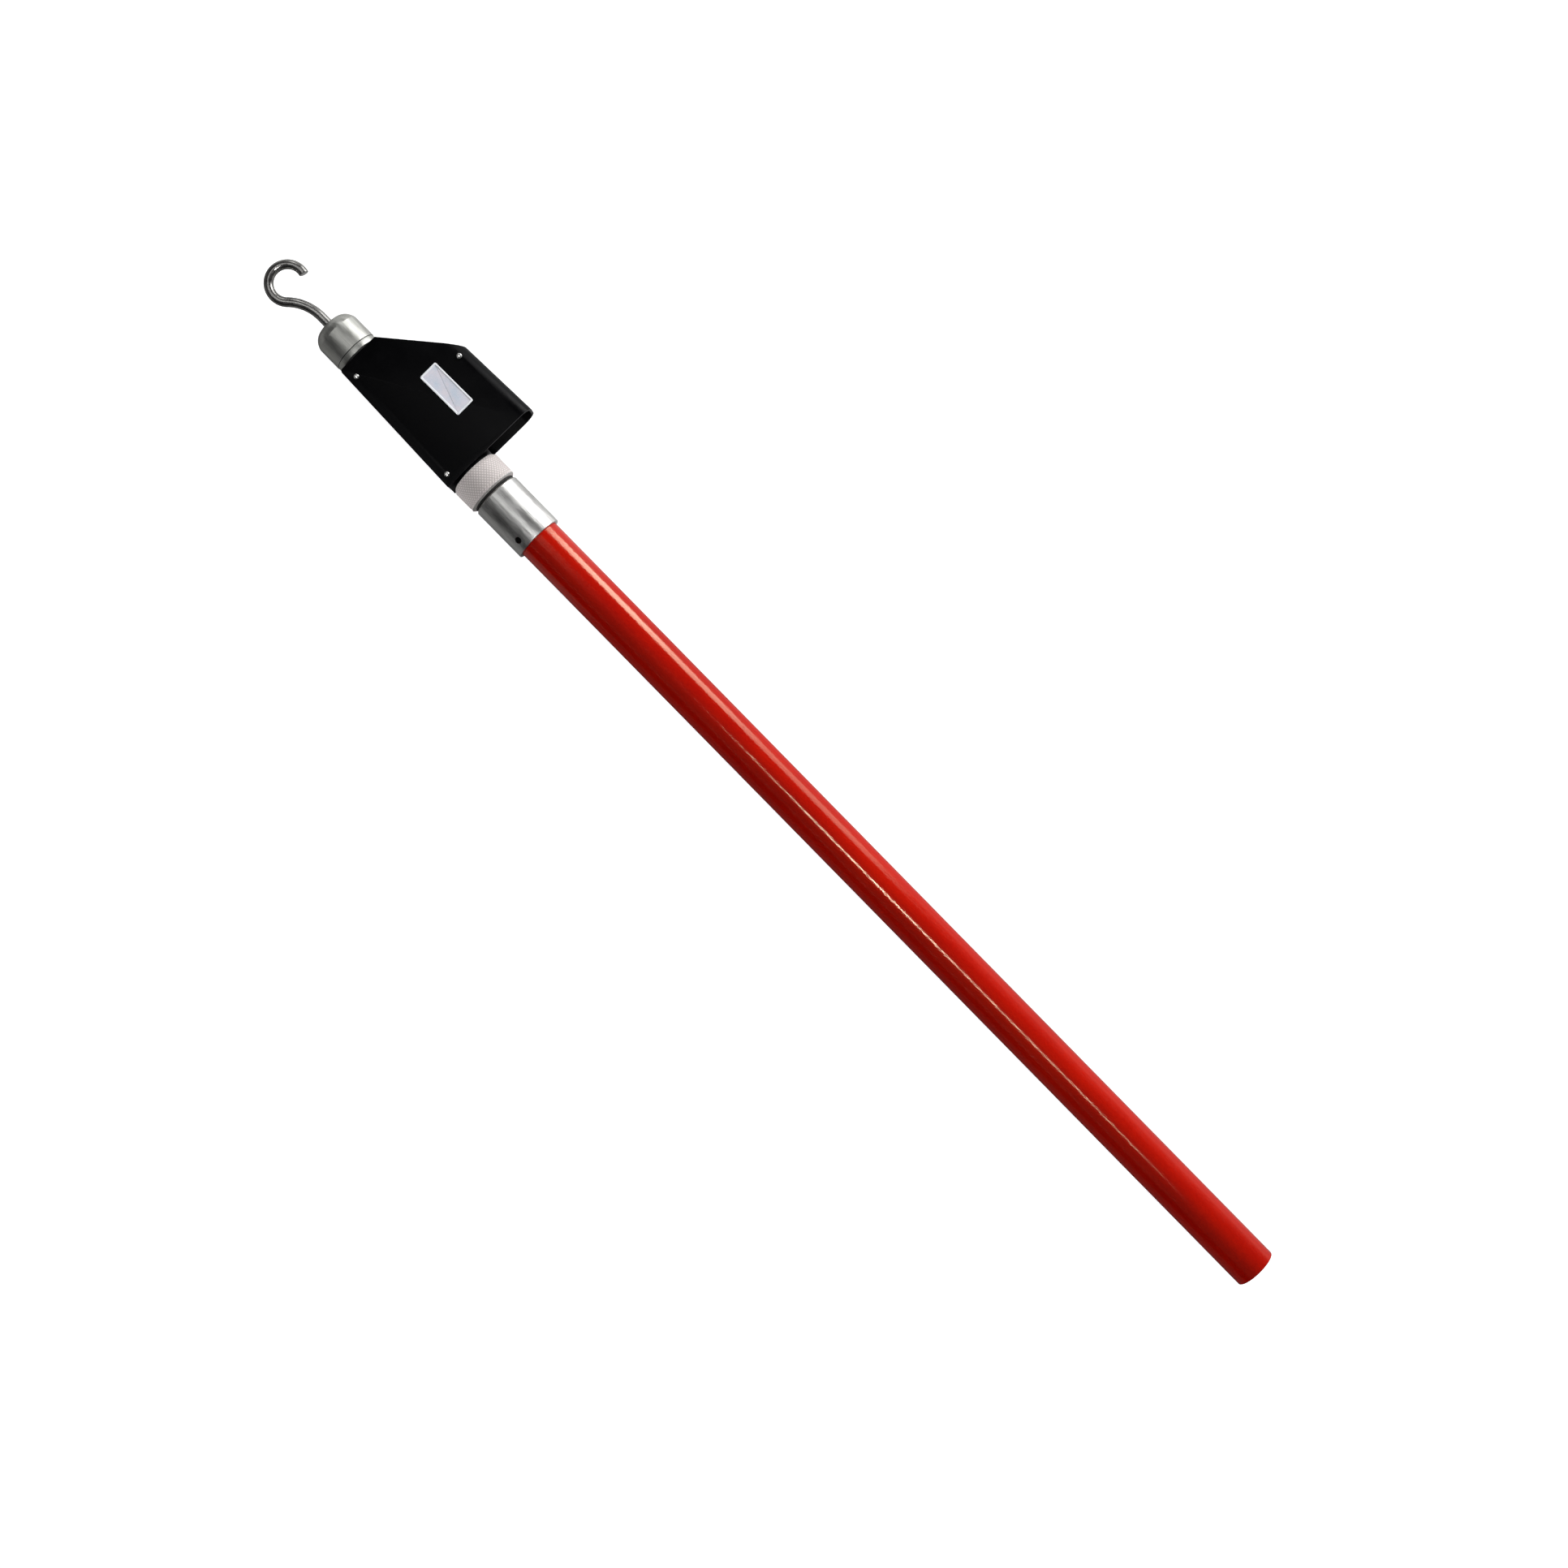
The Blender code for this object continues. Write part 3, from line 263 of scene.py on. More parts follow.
def bevelled(bm, edges, width, segments):
    bmesh.ops.bevel(bm, geom=edges, offset=width, segments=segments, profile=0.5, affect="EDGES",
                    material=-1, clamp_overlap=True)


def softenEdges(bm, width, degrees=40):
    sharp = [e for e in bm.edges if len(e.link_faces) == 2 and e.calc_face_angle(0) > math.radians(degrees)]
    bevelled(bm, sharp, width, 2)


def copyOfNode(name):
    # the CAD node's triangles merged back into whole faces
    bm = bmesh.new()
    bm.from_mesh(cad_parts[name].data)
    bmesh.ops.remove_doubles(bm, verts=bm.verts, dist=weld)
    bmesh.ops.dissolve_limit(bm, angle_limit=math.radians(0.6), verts=bm.verts, edges=bm.edges)
    return bm


def inScene(name, bm):  # the mesh as an object
    mesh = bpy.data.meshes.new(name)
    bm.to_mesh(mesh)
    bm.free()
    item = bpy.data.objects.new(name, mesh)
    bpy.context.scene.collection.objects.link(item)
    return item


def addInto(bm, other):  # puts the second mesh into the first
    mesh = bpy.data.meshes.new("joined")
    other.to_mesh(mesh)
    other.free()
    bm.from_mesh(mesh)
    bpy.data.meshes.remove(mesh)


def carved(bm, cutter):  # the first mesh less the second
    pair = [inScene("carving", form) for form in (bm, cutter)]
    cut = pair[0].modifiers.new("cut", "BOOLEAN")
    cut.object, cut.solver = pair[1], "EXACT"
    shaped = pair[0].evaluated_get(bpy.context.evaluated_depsgraph_get())
    result = bmesh.new()
    result.from_mesh(shaped.to_mesh())
    shaped.to_mesh_clear()
    for item in pair:
        mesh = item.data
        bpy.data.objects.remove(item)
        bpy.data.meshes.remove(mesh)
    return result


def finishPiece(name, bm, materials, body, slotName, *nodes, degrees=32):
    piece = inScene(name, bm)
    for material in materials if isinstance(materials, list) else [materials]:
        piece.data.materials.append(material)
    piece.data.shade_smooth()
    piece.data.set_sharp_from_angle(angle=math.radians(degrees))
    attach(piece, body)
    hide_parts(*nodes)


def roundedCorner(x, r, size, fromTurn, toTurn, count=4):
    # points of a small round on a turned profile, about a centre at (x, r)
    turns = [math.radians(fromTurn + (toTurn - fromTurn) * i / count) for i in range(count + 1)]
    return [(x + size * math.cos(t), r + size * math.sin(t)) for t in turns]


# the insulating pole; here and below, sizes are in metres and angles in degrees, and a part's place along the
# tool is its distance from the pole's butt end

poleSize = {"length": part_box("pole_tube")[1].x, "radius": 0.016, "bore": 0.013, "round": 0.0006, "bevel": 0.0004,
            "steps": 128, "cuts": 8}


def makePole():
    s = poleSize
    bm = bmesh.new()
    edge = roundedCorner(s["round"], s["radius"] - s["round"], s["round"], 90, 180)
    spun(bm, [(s["length"], s["bore"]), (s["length"], s["radius"]), *edge, (0.0, s["bore"] + s["bevel"]),
              (s["bevel"], s["bore"])], s["steps"], closed=True)
    lengthwise = [e for e in bm.edges if e.calc_length() > s["length"] / 2]
    bmesh.ops.subdivide_edges(bm, edges=lengthwise, cuts=s["cuts"])
    finishPiece("poleTube", bm, red, "pole", "red_fibreglass", "pole_tube")


plugSize = {"depth": 0.012, "radius": 0.0127, "round": 0.0005, "lip": 0.0024, "steps": 96,
            "slope": (0.00072, 0.0007), "dish": (0.0012, 0.002)}  # depth and width of the hollow in its end


def makePlug():
    s = plugSize
    bm = bmesh.new()
    rim = roundedCorner(s["round"], s["radius"] - s["round"], s["round"], 90, 180)
    inner = s["radius"] - s["lip"]
    hollow = [(deep, inner - wide) for deep, wide in (s["slope"], s["dish"])]
    spun(bm, [(s["depth"], 0.0), (s["depth"], s["radius"]), *rim, (0.0, inner), *hollow, (s["dish"][0], 0.0)],
         s["steps"])
    finishPiece("buttPlug", bm, rubber, "pole", "black_rubber", "butt_plug")


makePole()
makePlug()
print("pole made")


# ferrule, its thread and pins, and the seal ring

ferruleSize = {"start": 0.722, "end": 0.766, "threadEnd": 0.777, "radius": 0.0185, "thread": 0.015,
               "root": 0.0139, "pitch": 0.002, "turns": 4, "bore": 0.0163, "socketEnd": 0.756,
               "round": 0.0005, "chamfer": 0.0012, "soft": 0.0002, "ease": 0.0003, "lead": 0.0006,
               "runIn": 0.0003, "sunk": 0.0001, "steps": 128, "threadSteps": 64}
pinSize = {"at": 0.7295, "turn": 38.0, "radius": 0.0023, "gap": 0.0003, "sunk": 0.0009, "foot": 0.0128,
           "edge": 0.0005, "steps": 32, "drillAt": 0.019, "drillDepth": 0.008, "drillSteps": 40}


def pinStand(side):  # turns a shape made along X to point out through one of the pin holes
    turn = math.radians(pinSize["turn"])
    outwards = side * Vector((0.0, math.sin(turn), math.cos(turn)))
    return Matrix.Translation((pinSize["at"], 0, 0)) @ outwards.to_track_quat("X", "Z").to_matrix().to_4x4()


def makeFerrule():
    s, p = ferruleSize, pinSize
    bm = bmesh.new()
    lip = roundedCorner(s["start"] + s["round"], s["radius"] - s["round"], s["round"], 90, 180)
    low, tip = s["radius"] - s["chamfer"], s["end"] - s["chamfer"]
    spun(bm, [(s["threadEnd"], 0.0), (s["threadEnd"], s["root"] - s["lead"]),
              (s["threadEnd"] - s["lead"], s["root"]), (s["end"], s["root"]), (s["end"], low - s["soft"]),
              (s["end"] - s["soft"], low), (tip, s["radius"] - s["soft"]), (tip - s["ease"], s["radius"]), *lip,
              (s["start"], s["bore"]), (s["socketEnd"], s["bore"]), (s["socketEnd"], 0.0)], s["steps"])
    drills = bmesh.new()
    around = p["radius"] + p["gap"]
    for side in (1, -1):
        stand = (pinStand(side) @ Matrix.Translation((p["drillAt"], 0, 0))
                 @ Matrix.Rotation(math.pi / 2, 4, "Y"))
        bmesh.ops.create_cone(drills, cap_ends=True, segments=p["drillSteps"], radius1=around, radius2=around,
                              depth=p["drillDepth"], matrix=stand)
    bm = carved(bm, drills)
    teeth = bmesh.new()
    helix(teeth, s["end"] + s["runIn"], s["pitch"], s["turns"], s["root"] - s["sunk"], s["thread"],
          s["threadSteps"])
    addInto(bm, teeth)
    finishPiece("ferruleBody", bm, polished, "pole", "polished_aluminium", "ferrule")


def makePins():
    p = pinSize
    for side, label in ((1, "front"), (-1, "back")):
        tip, around = ferruleSize["radius"] - p["sunk"], p["radius"]
        bm = bmesh.new()
        spun(bm, [(p["foot"], 0.0), (p["foot"], around), (tip - p["edge"], around), (tip, around - p["edge"]),
                  (tip, 0.0)], p["steps"])
        bmesh.ops.transform(bm, matrix=pinStand(side), verts=bm.verts)
        finishPiece(f"ferrulePin{label.title()}", bm, pinSteelWithHoleShade, "pole", "dark_steel", f"ferrule_pin_{label}")


sealSize = {"bore": 0.0153, "bulge": 0.0006, "steps": 96}


def makeSeal():
    s = sealSize
    low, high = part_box("seal_ring")
    bm = bmesh.new()
    middle, half = (low.x + high.x) / 2, (high.x - low.x) / 2
    bulge = [(middle + half * math.cos(math.radians(a)),
              high.y - s["bulge"] + s["bulge"] * math.sin(math.radians(a))) for a in range(0, 181, 30)]
    spun(bm, [(high.x, s["bore"]), *bulge, (low.x, s["bore"])], s["steps"], closed=True)
    finishPiece("sealRing", bm, rubber, "pole", "black_rubber", "seal_ring")


makeFerrule()
makePins()
makeSeal()
print("ferrule made")


# coupling nut

nutSize = {"start": 0.768, "end": 0.7878, "radius": 0.0199, "depth": 0.0007, "chamfer": 0.0013, "rim": 0.0022,
           "bore": 0.0153, "neck": 0.0128, "lip": 0.0045, "diamonds": 48, "rows": 12, "edge": 0.0007,
           "ease": 0.0004, "runOut": 0.0003, "turned": 0.0001}


def makeNut():
    s = nutSize
    top, bottom = s["end"] - s["chamfer"], s["start"] + s["rim"]
    pitch, rise = math.pi / s["diamonds"], (top - bottom) / s["rows"]
    low, band = s["radius"] - s["depth"], s["radius"] - s["turned"]
    seat = s["end"] - s["lip"]
    rows = [(top + (bottom - top) * j / s["rows"], low) for j in range(s["rows"] + 1)]
    bm = bmesh.new()
    spun(bm, [(s["end"], s["neck"]), (s["end"], s["radius"] - s["chamfer"] - s["ease"]), *rows,
              (bottom - s["runOut"], band), (s["start"] + s["edge"], band), (s["start"], band - s["edge"]),
              (s["start"], s["bore"]), (seat, s["bore"]), (seat, s["neck"])], 2 * s["diamonds"], closed=True)
    for vert in bm.verts:
        across = math.hypot(vert.co.y, vert.co.z)
        row = round((top - vert.co.x) / rise)
        if abs(across - low) > 10 * weld or not 0 < row < s["rows"]:
            continue
        column = round(math.atan2(vert.co.z, vert.co.y) / pitch)
        if (row + column) % 2:  # every other crossing stands up as a diamond's crest
            vert.co.yz = Vector(vert.co.yz) * s["radius"] / low
    for item in bm.faces:  # the lower edge is turned bright
        spot = item.calc_center_median()
        if spot.x < s["start"] + s["edge"] and math.hypot(spot.y, spot.z) > s["radius"] - s["edge"]:
            item.material_index = 1
    knurled = knurledAluminium(s["diamonds"], top, rise)
    finishPiece("couplingNut", bm, [knurled, polished], "nut", "knurled_aluminium", "coupling_nut", degrees=18)


makeNut()
print("nut made")


# hood, its frame, screws and plate

hoodSize = {"edge": 0.00016, "half": 0.0175}  # half of its depth


def makeHood():
    for node, name in (("hood_cover", "hoodCover"), ("hood_frame", "hoodFrame")):
        bm = copyOfNode(node)
        softenEdges(bm, hoodSize["edge"])
        finishPiece(name, bm, black, "head", "black_hood", node, degrees=30)


screwSize = {"radius": 0.0021, "height": 0.00135, "fullness": 0.55, "shank": 0.0011, "length": 0.006,
             "slot": 0.00032, "reach": 0.00125, "depth": 0.0006, "taper": 0.8, "proud": 0.0002,
             "crown": 0.0004, "steps": 32}  # the crown is the part of the head that the recess may take


def sinkCross(bm):  # the crossed recess for the driver, in a head that points along X
    s = screwSize
    for normal in ((0, 1, 0), (0, 0, 1)):
        for reach in (s["slot"], s["reach"]):
            for way in (1, -1):
                bmesh.ops.bisect_plane(bm, geom=bm.verts[:] + bm.edges[:] + bm.faces[:], dist=weld / 10,
                                       plane_co=Vector(normal) * reach * way, plane_no=normal)
    cross = []
    for item in bm.faces:
        spot = item.calc_center_median()
        a, b = sorted((abs(spot.y), abs(spot.z)))
        if spot.x > s["crown"] and a < s["slot"] and b < s["reach"]:
            cross.append(item)
    sunk = bmesh.ops.extrude_face_region(bm, geom=cross)
    bmesh.ops.delete(bm, geom=cross, context="FACES")
    for vert in sunk["geom"]:
        if isinstance(vert, bmesh.types.BMVert):
            vert.co.x = s["height"] - s["depth"]
            vert.co.yz = Vector(vert.co.yz) * s["taper"]


def makeScrews():
    s = screwSize
    for face, side in (("front", 1), ("back", -1)):
        for label, spin in (("upper", 20), ("lower", 50), ("corner", 5)):
            node = f"screw_{face}_{label}"
            low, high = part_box(node)
            centre = (low + high) / 2
            bm = bmesh.new()
            turns = [math.radians(a) for a in (12, 25, 40, 55, 70, 82, 90)]
            dome = [(s["height"] * math.cos(a), s["radius"] * math.sin(a) ** s["fullness"]) for a in turns]
            spun(bm, [(s["height"], 0.0), *dome, (0.0, s["shank"]), (-s["length"], s["shank"]),
                      (-s["length"], 0.0)], s["steps"])
            sinkCross(bm)
            turn = Matrix.Rotation(math.radians(spin), 4, "X")
            stand = Vector((0, 0, side)).to_track_quat("X", "Y").to_matrix().to_4x4()
            place = Matrix.Translation((centre.x, centre.y, side * (hoodSize["half"] + s["proud"])))
            bmesh.ops.transform(bm, matrix=place @ stand @ turn, verts=bm.verts)
            bmesh.ops.recalc_face_normals(bm, faces=bm.faces)
            finishPiece(f"screw{face.title()}{label.title()}", bm, screwSteel, "head", "bright_screw", node)


plateSize = {"length": 0.0376, "width": 0.0152, "seat": 0.0176, "thick": 0.0009, "border": 0.0011,
             "sunk": 0.0003, "slope": 0.0002, "corner": 0.0012, "soft": 0.00012, "centre": (0.8396, -0.0272),
             "turn": 0.75}


def makePlate():
    s = plateSize
    bm = bmesh.new()
    bmesh.ops.create_cube(bm, size=1.0)
    bmesh.ops.scale(bm, vec=(s["length"], s["width"], s["thick"]), verts=bm.verts)
    upright = [e for e in bm.edges if abs(e.verts[0].co.z - e.verts[1].co.z) > s["thick"] / 2]
    bevelled(bm, upright, s["corner"], 5)
    top = max(bm.faces, key=lambda f: f.calc_center_median().z)
    bmesh.ops.inset_region(bm, faces=[top], thickness=s["border"], use_even_offset=True)
    bmesh.ops.inset_region(bm, faces=[top], thickness=s["slope"], depth=-s["sunk"], use_even_offset=True)
    softenEdges(bm, s["soft"], 50)
    for item in bm.faces:  # the sunk field has its own film
        spot = item.calc_center_median()
        inside = abs(spot.x) < s["length"] / 2 - s["border"] and abs(spot.y) < s["width"] / 2 - s["border"]
        if inside and item.normal.z > 0.99 and spot.z < s["thick"] / 2 - s["sunk"] * 0.8:
            item.material_index = 1
    place = Matrix.Translation((*s["centre"], s["seat"] + s["thick"] / 2))
    bmesh.ops.transform(bm, matrix=place @ Matrix.Rotation(math.radians(s["turn"]), 4, "Z"), verts=bm.verts)
    finishPiece("ratingPlate", bm, [plateBorder, plateField], "head", "plate", "rating_plate")


makeHood()
makeScrews()
makePlate()
print("hood made")


# lamp lens, seen through the hood's open mouth

lensSize = {"across": -0.031, "radius": 0.0085, "wall": 0.0012, "height": 0.006, "flange": 0.0015, "steps": 72}


def makeLens():
    s = lensSize
    low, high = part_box("lamp_lens")
    seat = high.x - s["wall"]
    base = low.x + s["height"]
    turns = [math.radians(a) for a in range(0, 91, 9)]
    outer = [(base - s["height"] * math.cos(a), s["radius"] * math.sin(a)) for a in turns]
    thin = s["height"] - s["wall"]
    inner = [(base - thin * math.cos(a), (s["radius"] - s["wall"]) * math.sin(a)) for a in reversed(turns)]
    bm = bmesh.new()
    spun(bm, [*outer, (seat, s["radius"]), (seat, s["radius"] + s["flange"]),
              (high.x, s["radius"] + s["flange"]), (high.x, s["radius"] - s["wall"]), *inner],
         s["steps"], s["across"])
    finishPiece("lampLens", bm, lensRed, "head", "red_lens", "lamp_lens")


makeLens()
print("lens made")


# clamp ring, end cap and foot ring

capSize = {"radius": 0.0171, "length": 0.0262, "dome": 0.0112, "crease": 14, "flat": 0.0080, "soft": 0.0001,
           "hookBore": 0.0037, "bore": 0.0128, "stud": 0.9208, "steps": 128}


def makeCap():
    s = capSize
    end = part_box("end_cap")[1].x
    start, centre = end - s["length"], end - s["dome"]
    swell = (s["radius"] - s["flat"]) / math.cos(math.radians(s["crease"]))
    turns = [math.radians(a) for a in range(90, s["crease"] - 1, -4)]
    dome = [(centre + s["dome"] * math.sin(a), s["flat"] + swell * math.cos(a)) for a in turns]
    bm = bmesh.new()
    spun(bm, [(end, s["hookBore"]), *dome, (start + s["soft"], s["radius"]), (start, s["radius"] - s["soft"]),
              (start, s["bore"]), (s["stud"], s["bore"]), (s["stud"], s["hookBore"])], s["steps"], closed=True)
    finishPiece("endCap", bm, capAluminium, "head", "polished_aluminium", "end_cap", degrees=9)


ringSizes = {  # node, name, material, slot, outer radius, length
    "clamp_ring": ("clampRing", capAluminium, "polished_aluminium", 0.0168, 0.0042),
    "hood_gasket": ("hoodGasket", rubber, "black_rubber", 0.0171, 0.0010),
    "foot_ring": ("footRing", black, "black_hood", 0.0153, 0.0020),
}
ringEdge = {"most": 0.00015, "share": 0.3}  # how far its edges are rounded, and at most this share of its length


def makeRings():
    for node, (name, material, slotName, outer, length) in ringSizes.items():
        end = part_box(node)[1].x
        start, bore = end - length, capSize["bore"]
        soft = min(ringEdge["most"], ringEdge["share"] * length)
        upper = roundedCorner(end - soft, outer - soft, soft, 90, 0, 3)
        lower = roundedCorner(start + soft, outer - soft, soft, 90, 180, 3)
        bm = bmesh.new()
        spun(bm, [(end, bore), *reversed(upper), *lower, (start, bore)], capSize["steps"], closed=True)
        finishPiece(name, bm, material, "head", slotName, node)


makeCap()
makeRings()
print("cap made")


# hook electrode

hookSize = {"radius": 0.0035, "steps": 40, "rodStart": 0.9323, "bendStart": 0.9418, "bend": 0.0347,
            "bendSteps": 24, "crook": 0.0134, "crookSteps": 96, "offset": 0.0005, "tip": -105.0,
            "tipRound": 0.0006}
studSize = {"start": 0.9208, "root": 0.0030, "crest": 0.0034, "edge": 0.0005, "pitch": 0.001, "turns": 10,
            "runIn": 0.0002, "sunk": 0.0001, "steps": 24}


def ofKind(geom, kind):  # the vertices or the edges of an operator's result
    return [g for g in geom if isinstance(g, kind)]


def makeStud():
    s, h = studSize, hookSize
    stud = bmesh.new()
    spun(stud, [(h["rodStart"], h["radius"]), (h["rodStart"] - s["edge"], s["root"]),
                (s["start"] + s["edge"], s["root"]), (s["start"], s["root"] - s["edge"]),
                (s["start"], 0.0)], h["steps"])
    helix(stud, s["start"] + s["runIn"], s["pitch"], s["turns"], s["root"] - s["sunk"], s["crest"], s["steps"])
    return stud


def makeHook():
    s = hookSize
    reach = math.sqrt((s["bend"] + s["crook"]) ** 2 - (s["bend"] - s["offset"]) ** 2)
    crookAt = Vector((s["bendStart"] + reach, s["offset"], 0))
    bendAt = Vector((s["bendStart"], s["bend"], 0))
    meet = bendAt - crookAt
    meetTurn = math.atan2(meet.y, meet.x)
    bm = bmesh.new()
    stand = Matrix.Translation((s["rodStart"], 0, 0)) @ Matrix.Rotation(math.pi / 2, 4, "Y")
    ring = bmesh.ops.create_circle(bm, cap_ends=False, segments=s["steps"], radius=s["radius"],
                                   matrix=stand)["verts"]
    loop = list({e for v in ring for e in v.link_edges})
    grown = bmesh.ops.extrude_edge_only(bm, edges=loop)["geom"]
    ring, loop = ofKind(grown, bmesh.types.BMVert), ofKind(grown, bmesh.types.BMEdge)
    bmesh.ops.translate(bm, vec=(s["bendStart"] - s["rodStart"], 0, 0), verts=ring)
    for centre, angle, steps in ((bendAt, meetTurn - math.pi / 2, s["bendSteps"]),
                                 (crookAt, math.radians(s["tip"]) - meetTurn, s["crookSteps"])):
        grown = bmesh.ops.spin(bm, geom=ring + loop, cent=centre, axis=(0, 0, 1), dvec=(0, 0, 0), angle=angle,
                               steps=steps, use_merge=False)["geom_last"]
        ring, loop = ofKind(grown, bmesh.types.BMVert), ofKind(grown, bmesh.types.BMEdge)
    tip = bmesh.ops.contextual_create(bm, geom=loop)["faces"]
    bmesh.ops.remove_doubles(bm, verts=bm.verts, dist=weld / 10)
    bevelled(bm, tip[0].edges[:], s["tipRound"], 3)
    addInto(bm, makeStud())
    bmesh.ops.recalc_face_normals(bm, faces=bm.faces)
    finishPiece("hookElectrode", bm, hookSteel, "hook", "hook_steel", "hook_electrode")


makeHook()
print("hook made")


# the inner pieces keep their CAD solids and get their finishes

innerFinishes = {"foam_core": foam, "coupling_spigot": polished, "core_tube": laminate, "spigot_pin": pinSteelWithHoleShade,
                 "lampholder": holderBlack, "reflector": mirrorSteel, "neon_lamp": glass, "lamp_base": brass,
                 "insulating_washer": laminate, "resistor_foot": brass, "series_resistor": cement,
                 "resistor_sleeve": brass, "lead_live": sheath, "lead_return": rubber,
                 "contact_plunger": brass}
for node, material in innerFinishes.items():
    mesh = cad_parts[node].data
    mesh.materials.clear()
    mesh.materials.append(material)
print("inner pieces finished")


# floor, card, lamps and camera

floorSize = {"half": 14.0, "middle": 0.5, "below": 0.0003, "foot": 0.022}  # the foot is the dark line's Y
floorLook = {"paper": "e4e4e4", "lift": 0.74, "turn": (0.66, 0.70), "full": (0.65, 1.0), "dim": (0.06, 0.24),
             "side": (-0.16, 0.06), "nearFoot": (0.004, 0.03), "shade": (0.2, 1.0)}


def makeFloor():
    # white paper, lifted to plain white where it is seen; in a gloss it is a glow that paints the reflections,
    # full on the near side and dim on the far side, each with one value by the pole and one by the head, with a
    # painted shadow under the object
    s, look = floorSize, floorLook
    bm = bmesh.new()
    place = (s["middle"], 0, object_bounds()[0].z - s["below"])
    bmesh.ops.create_grid(bm, x_segments=1, y_segments=1, size=s["half"], matrix=Matrix.Translation(place))
    floor = inScene("floor", bm)
    material, tree, shader, spot = newMaterial("whitePaperFloor", Base_Color=hexColour(look["paper"]),
                                               Roughness=0.9)
    rays = addNode(tree, "LightPath")
    seen = addNode(tree, "Math", (rays["Is Camera Ray"], rays["Is Transmission Ray"]), operation="ADD")[0]
    lift = addNode(tree, "Math", (seen, look["lift"]), operation="MULTIPLY")[0]
    glow = addNode(tree, "Emission", {"Color": (1, 1, 1, 1), "Strength": lift})[0]
    paper = addNode(tree, "AddShader", (shader.outputs[0], glow))[0]
    parts = addNode(tree, "SeparateXYZ", (spot,))
    # painted shadow in the reflections: the gloss glow darkens along a line by the object's foot
    away = addNode(tree, "Math", (parts["Y"], s["foot"]), operation="SUBTRACT")[0]
    away = addNode(tree, "Math", (away,), operation="ABSOLUTE")[0]
    near = addNode(tree, "MapRange", (away, *look["nearFoot"], *look["shade"]))[0]
    dim, full = (addNode(tree, "MapRange", (parts["X"], *look["turn"], *look[key]))[0]
                 for key in ("dim", "full"))
    fade = addNode(tree, "MapRange", (parts["Y"], *look["side"], full, dim))[0]
    shade = addNode(tree, "Math", (fade, near), operation="MULTIPLY")[0]
    paintedReflectionGlow = addNode(tree, "Emission", {"Color": (1, 1, 1, 1), "Strength": shade})[0]
    whole = addNode(tree, "MixShader", (rays["Is Glossy Ray"], paper, paintedReflectionGlow))[0]
    setInputs(tree, tree.nodes["Material Output"], {"Surface": whole})
    floor.data.materials.append(material)


flagSize = {"half": (1.175, 0.375), "middle": (-0.025, 1.15, 0.36)}


def makeFlag():  # a black card beside the object, which keeps the far side's reflections dark
    s = flagSize
    bm = bmesh.new()
    bmesh.ops.create_grid(bm, x_segments=1, y_segments=1, size=1.0)
    bmesh.ops.scale(bm, vec=(*s["half"], 1), verts=bm.verts)
    stand = Matrix.Translation(s["middle"]) @ Matrix.Rotation(math.pi / 2, 4, "X")
    bmesh.ops.transform(bm, matrix=stand, verts=bm.verts)
    flag = inScene("blackFlag", bm)
    flag.visible_camera = False
    flag.data.materials.append(newMaterial("blackFlagCloth", Base_Color=hexColour("101010"), Roughness=1.0)[0])


worldLook = {"fade": (0.05, 0.32), "low": (0.26, 0.26, 0.26, 1), "high": (0.08, 0.08, 0.082, 1)}


def makeWorld():  # grey by the horizon and darker overhead
    world = bpy.data.worlds.new("studio")
    bpy.context.scene.world = world
    world.use_nodes = True
    tree = world.node_tree
    way = addNode(tree, "TexCoord")["Generated"]
    height = addNode(tree, "SeparateXYZ", (way,))["Z"]
    rise = addNode(tree, "MapRange", (height, *worldLook["fade"], 0, 1), interpolation_type="SMOOTHSTEP")[0]
    sky = addNode(tree, "Mix", {0: rise, 6: worldLook["low"], 7: worldLook["high"]}, data_type="RGBA")[2]
    setInputs(tree, tree.nodes["Background"], {"Color": sky})


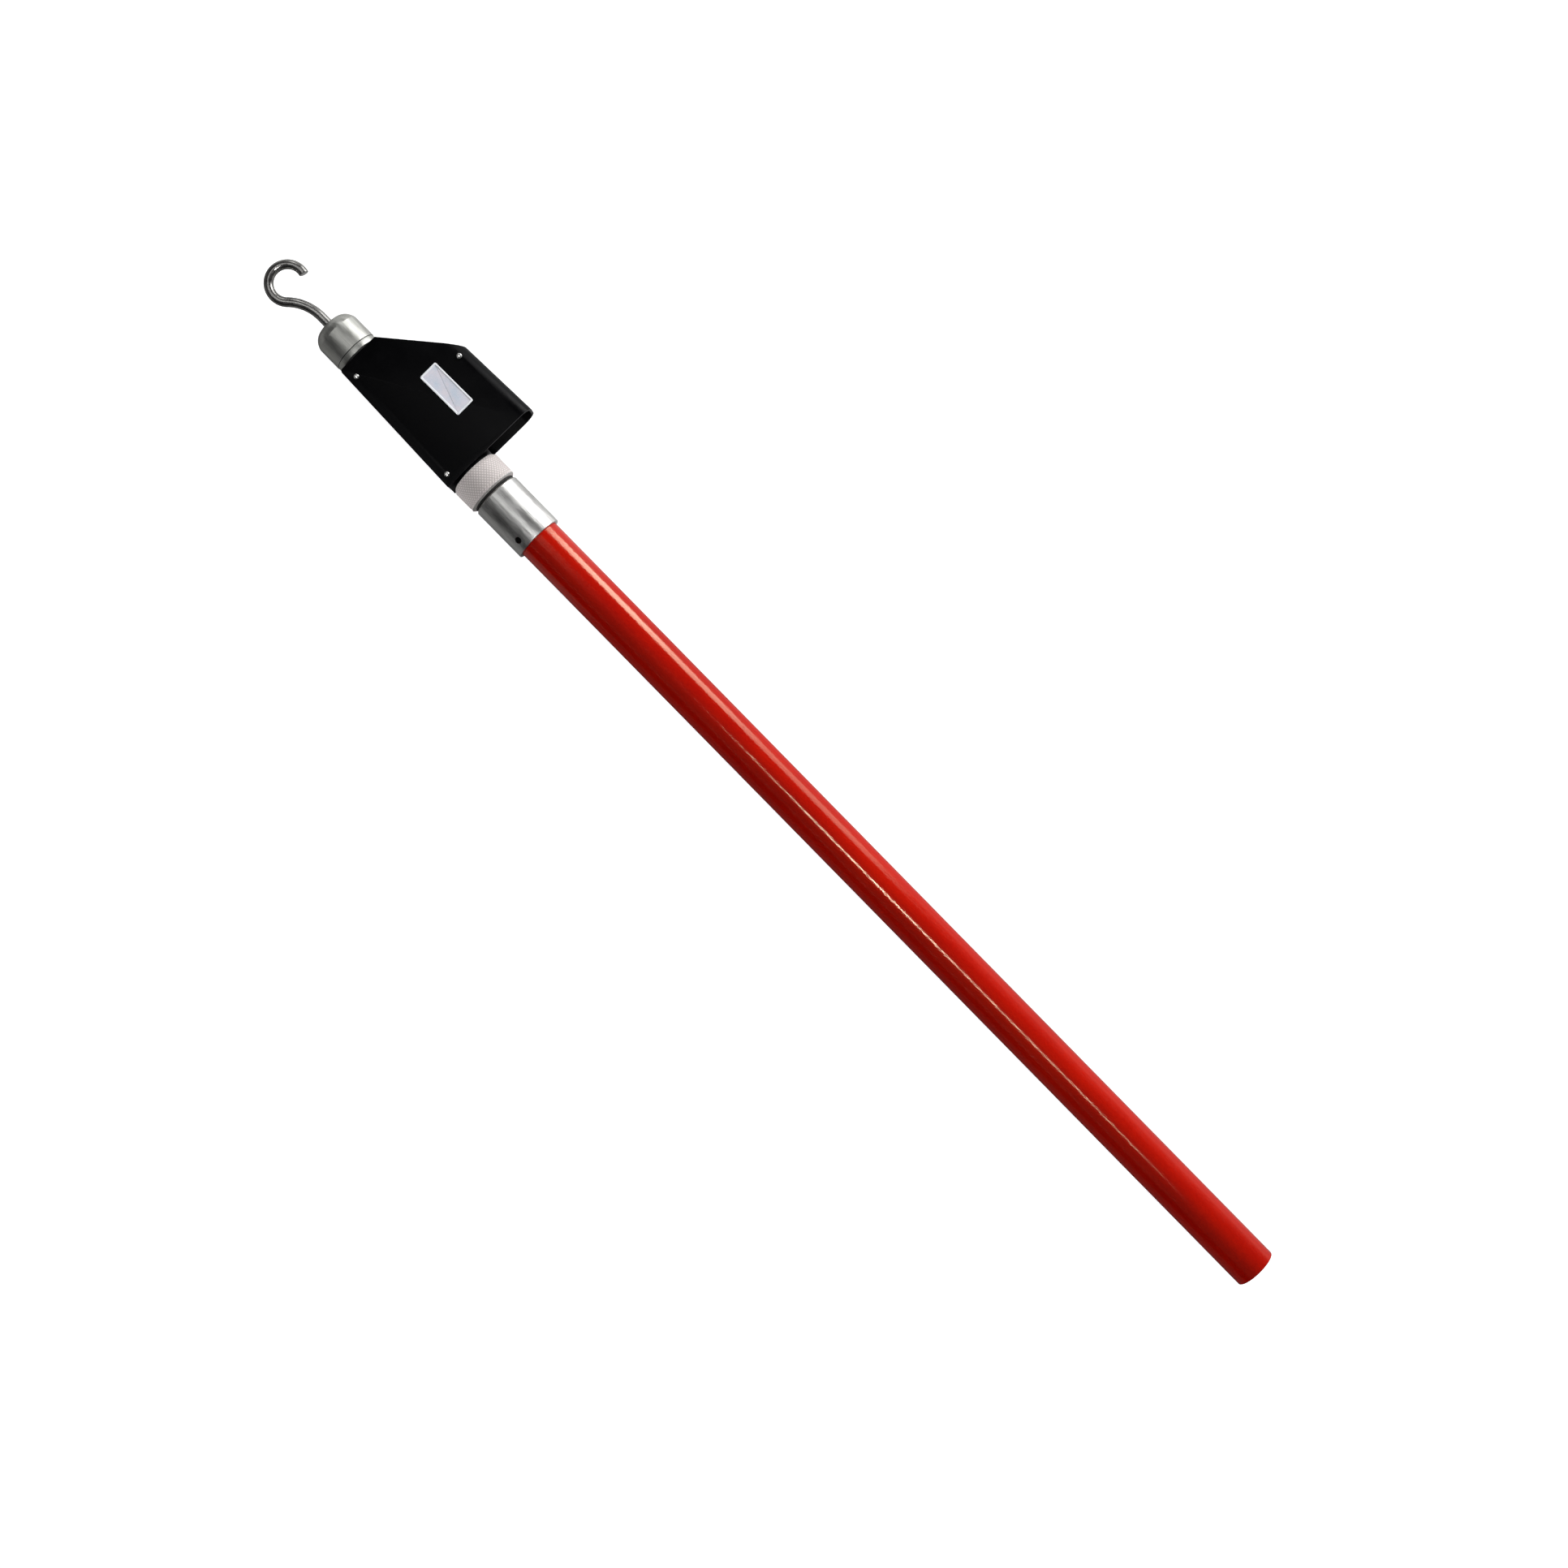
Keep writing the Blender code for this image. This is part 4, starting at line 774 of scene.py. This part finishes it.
lamps = {  # kind, place, aim, width and height (a spot's radius, cone and blend), power, seen in a gloss
    "headBox": ("AREA", (0.99, -1.10, 0.36), (0.99, 0, 0), (0.22, 0.72), 1.75, True),
    "capBox": ("AREA", (1.235, -1.10, 0.36), (1.235, 0, 0), (0.27, 0.72), 1.55, True),
    "hookBox": ("AREA", (1.90, -0.95, 0.75), (0.96, 0, 0), (0.5, 0.5), 1.7, True),
    "poleKey": ("AREA", (0.79, -1.12, 0.29), (0.79, 0, 0), (0.18, 0.58), 4.1, True),
    "poleFade": ("AREA", (0.63, -1.12, 0.29), (0.63, 0, 0), (0.14, 0.58), 1.6, True),
    "poleTail": ("AREA", (0.44, -1.12, 0.29), (0.44, 0, 0), (0.24, 0.58), 1.25, True),
    "sideFill": ("AREA", (0.10, -1.66, 0.58), (0.15, 0, 0), (1.8, 0.8), 32.0, False),
    "farFill": ("AREA", (0.45, 1.52, 0.80), (0.45, 0, 0), (1.8, 0.6), 21.0, False),
    "nutFill": ("SPOT", (0.82, 0.42, 0.30), (0.776, 0, 0.005), (0.02, 13, 0.8), 2.4, False),
    "capStrip": ("AREA", (1.27, 0.37, 1.25), (1.27, 0, 0), (0.35, 0.10), 0.27, True),
    "ceilingPanel": ("AREA", (1.36, -0.12, 2.0), (1.36, -0.12, 0.0), (0.64, 1.3), 2.75, True),
    "ceilingTube": ("AREA", (0.135, 0.195, 1.8), (0.135, 0.0, 0.0), (0.77, 0.027), 4.6, True),
    "ceilingBulb": ("AREA", (0.25, 0.22, 1.8), (0.25, 0.0, 0.0), (0.24, 0.05), 2.5, True),
}


def makeLamps():
    for name, (kind, place, aim, size, power, inGloss) in lamps.items():
        data = bpy.data.lights.new(name, kind)
        data.energy = power
        if kind == "AREA":
            data.shape = "RECTANGLE"
            data.size, data.size_y = size
        else:
            data.shadow_soft_size, cone, data.spot_blend = size
            data.spot_size = math.radians(cone)
        lamp = bpy.data.objects.new(name, data)
        bpy.context.scene.collection.objects.link(lamp)
        lamp.location = place
        back = (Vector(place) - Vector(aim)).normalized()
        side = Vector((0, 1, 0)).cross(back) if abs(back.y) < 0.5 else Vector((1, 0, 0))
        side = (side - back * side.dot(back)).normalized()
        lamp.rotation_mode = "QUATERNION"
        lamp.rotation_quaternion = Matrix((side, back.cross(side), back)).transposed().to_quaternion()
        lamp.visible_glossy = inGloss


cameraLook = {"lens": 53.1, "sensor": 36.0, "place": (0.4774, -0.0021, 1.634),
              "right": (-0.70035, -0.71380, 0), "up": (0.71380, -0.70035, 0)}


def makeCamera():  # looks straight down, turned so that the hook is at the upper left
    s = cameraLook
    data = bpy.data.cameras.new("camera")
    data.lens, data.sensor_width = s["lens"], s["sensor"]
    camera = bpy.data.objects.new("camera", data)
    bpy.context.scene.collection.objects.link(camera)
    right, up = Vector(s["right"]), Vector(s["up"])
    turned = Matrix((right, up, right.cross(up))).transposed().to_4x4()
    camera.matrix_world = Matrix.Translation(s["place"]) @ turned
    bpy.context.scene.camera = camera


makeFloor()
makeFlag()
makeWorld()
makeLamps()
makeCamera()
bpy.context.scene.view_settings.view_transform = "Standard"
print("stage made")
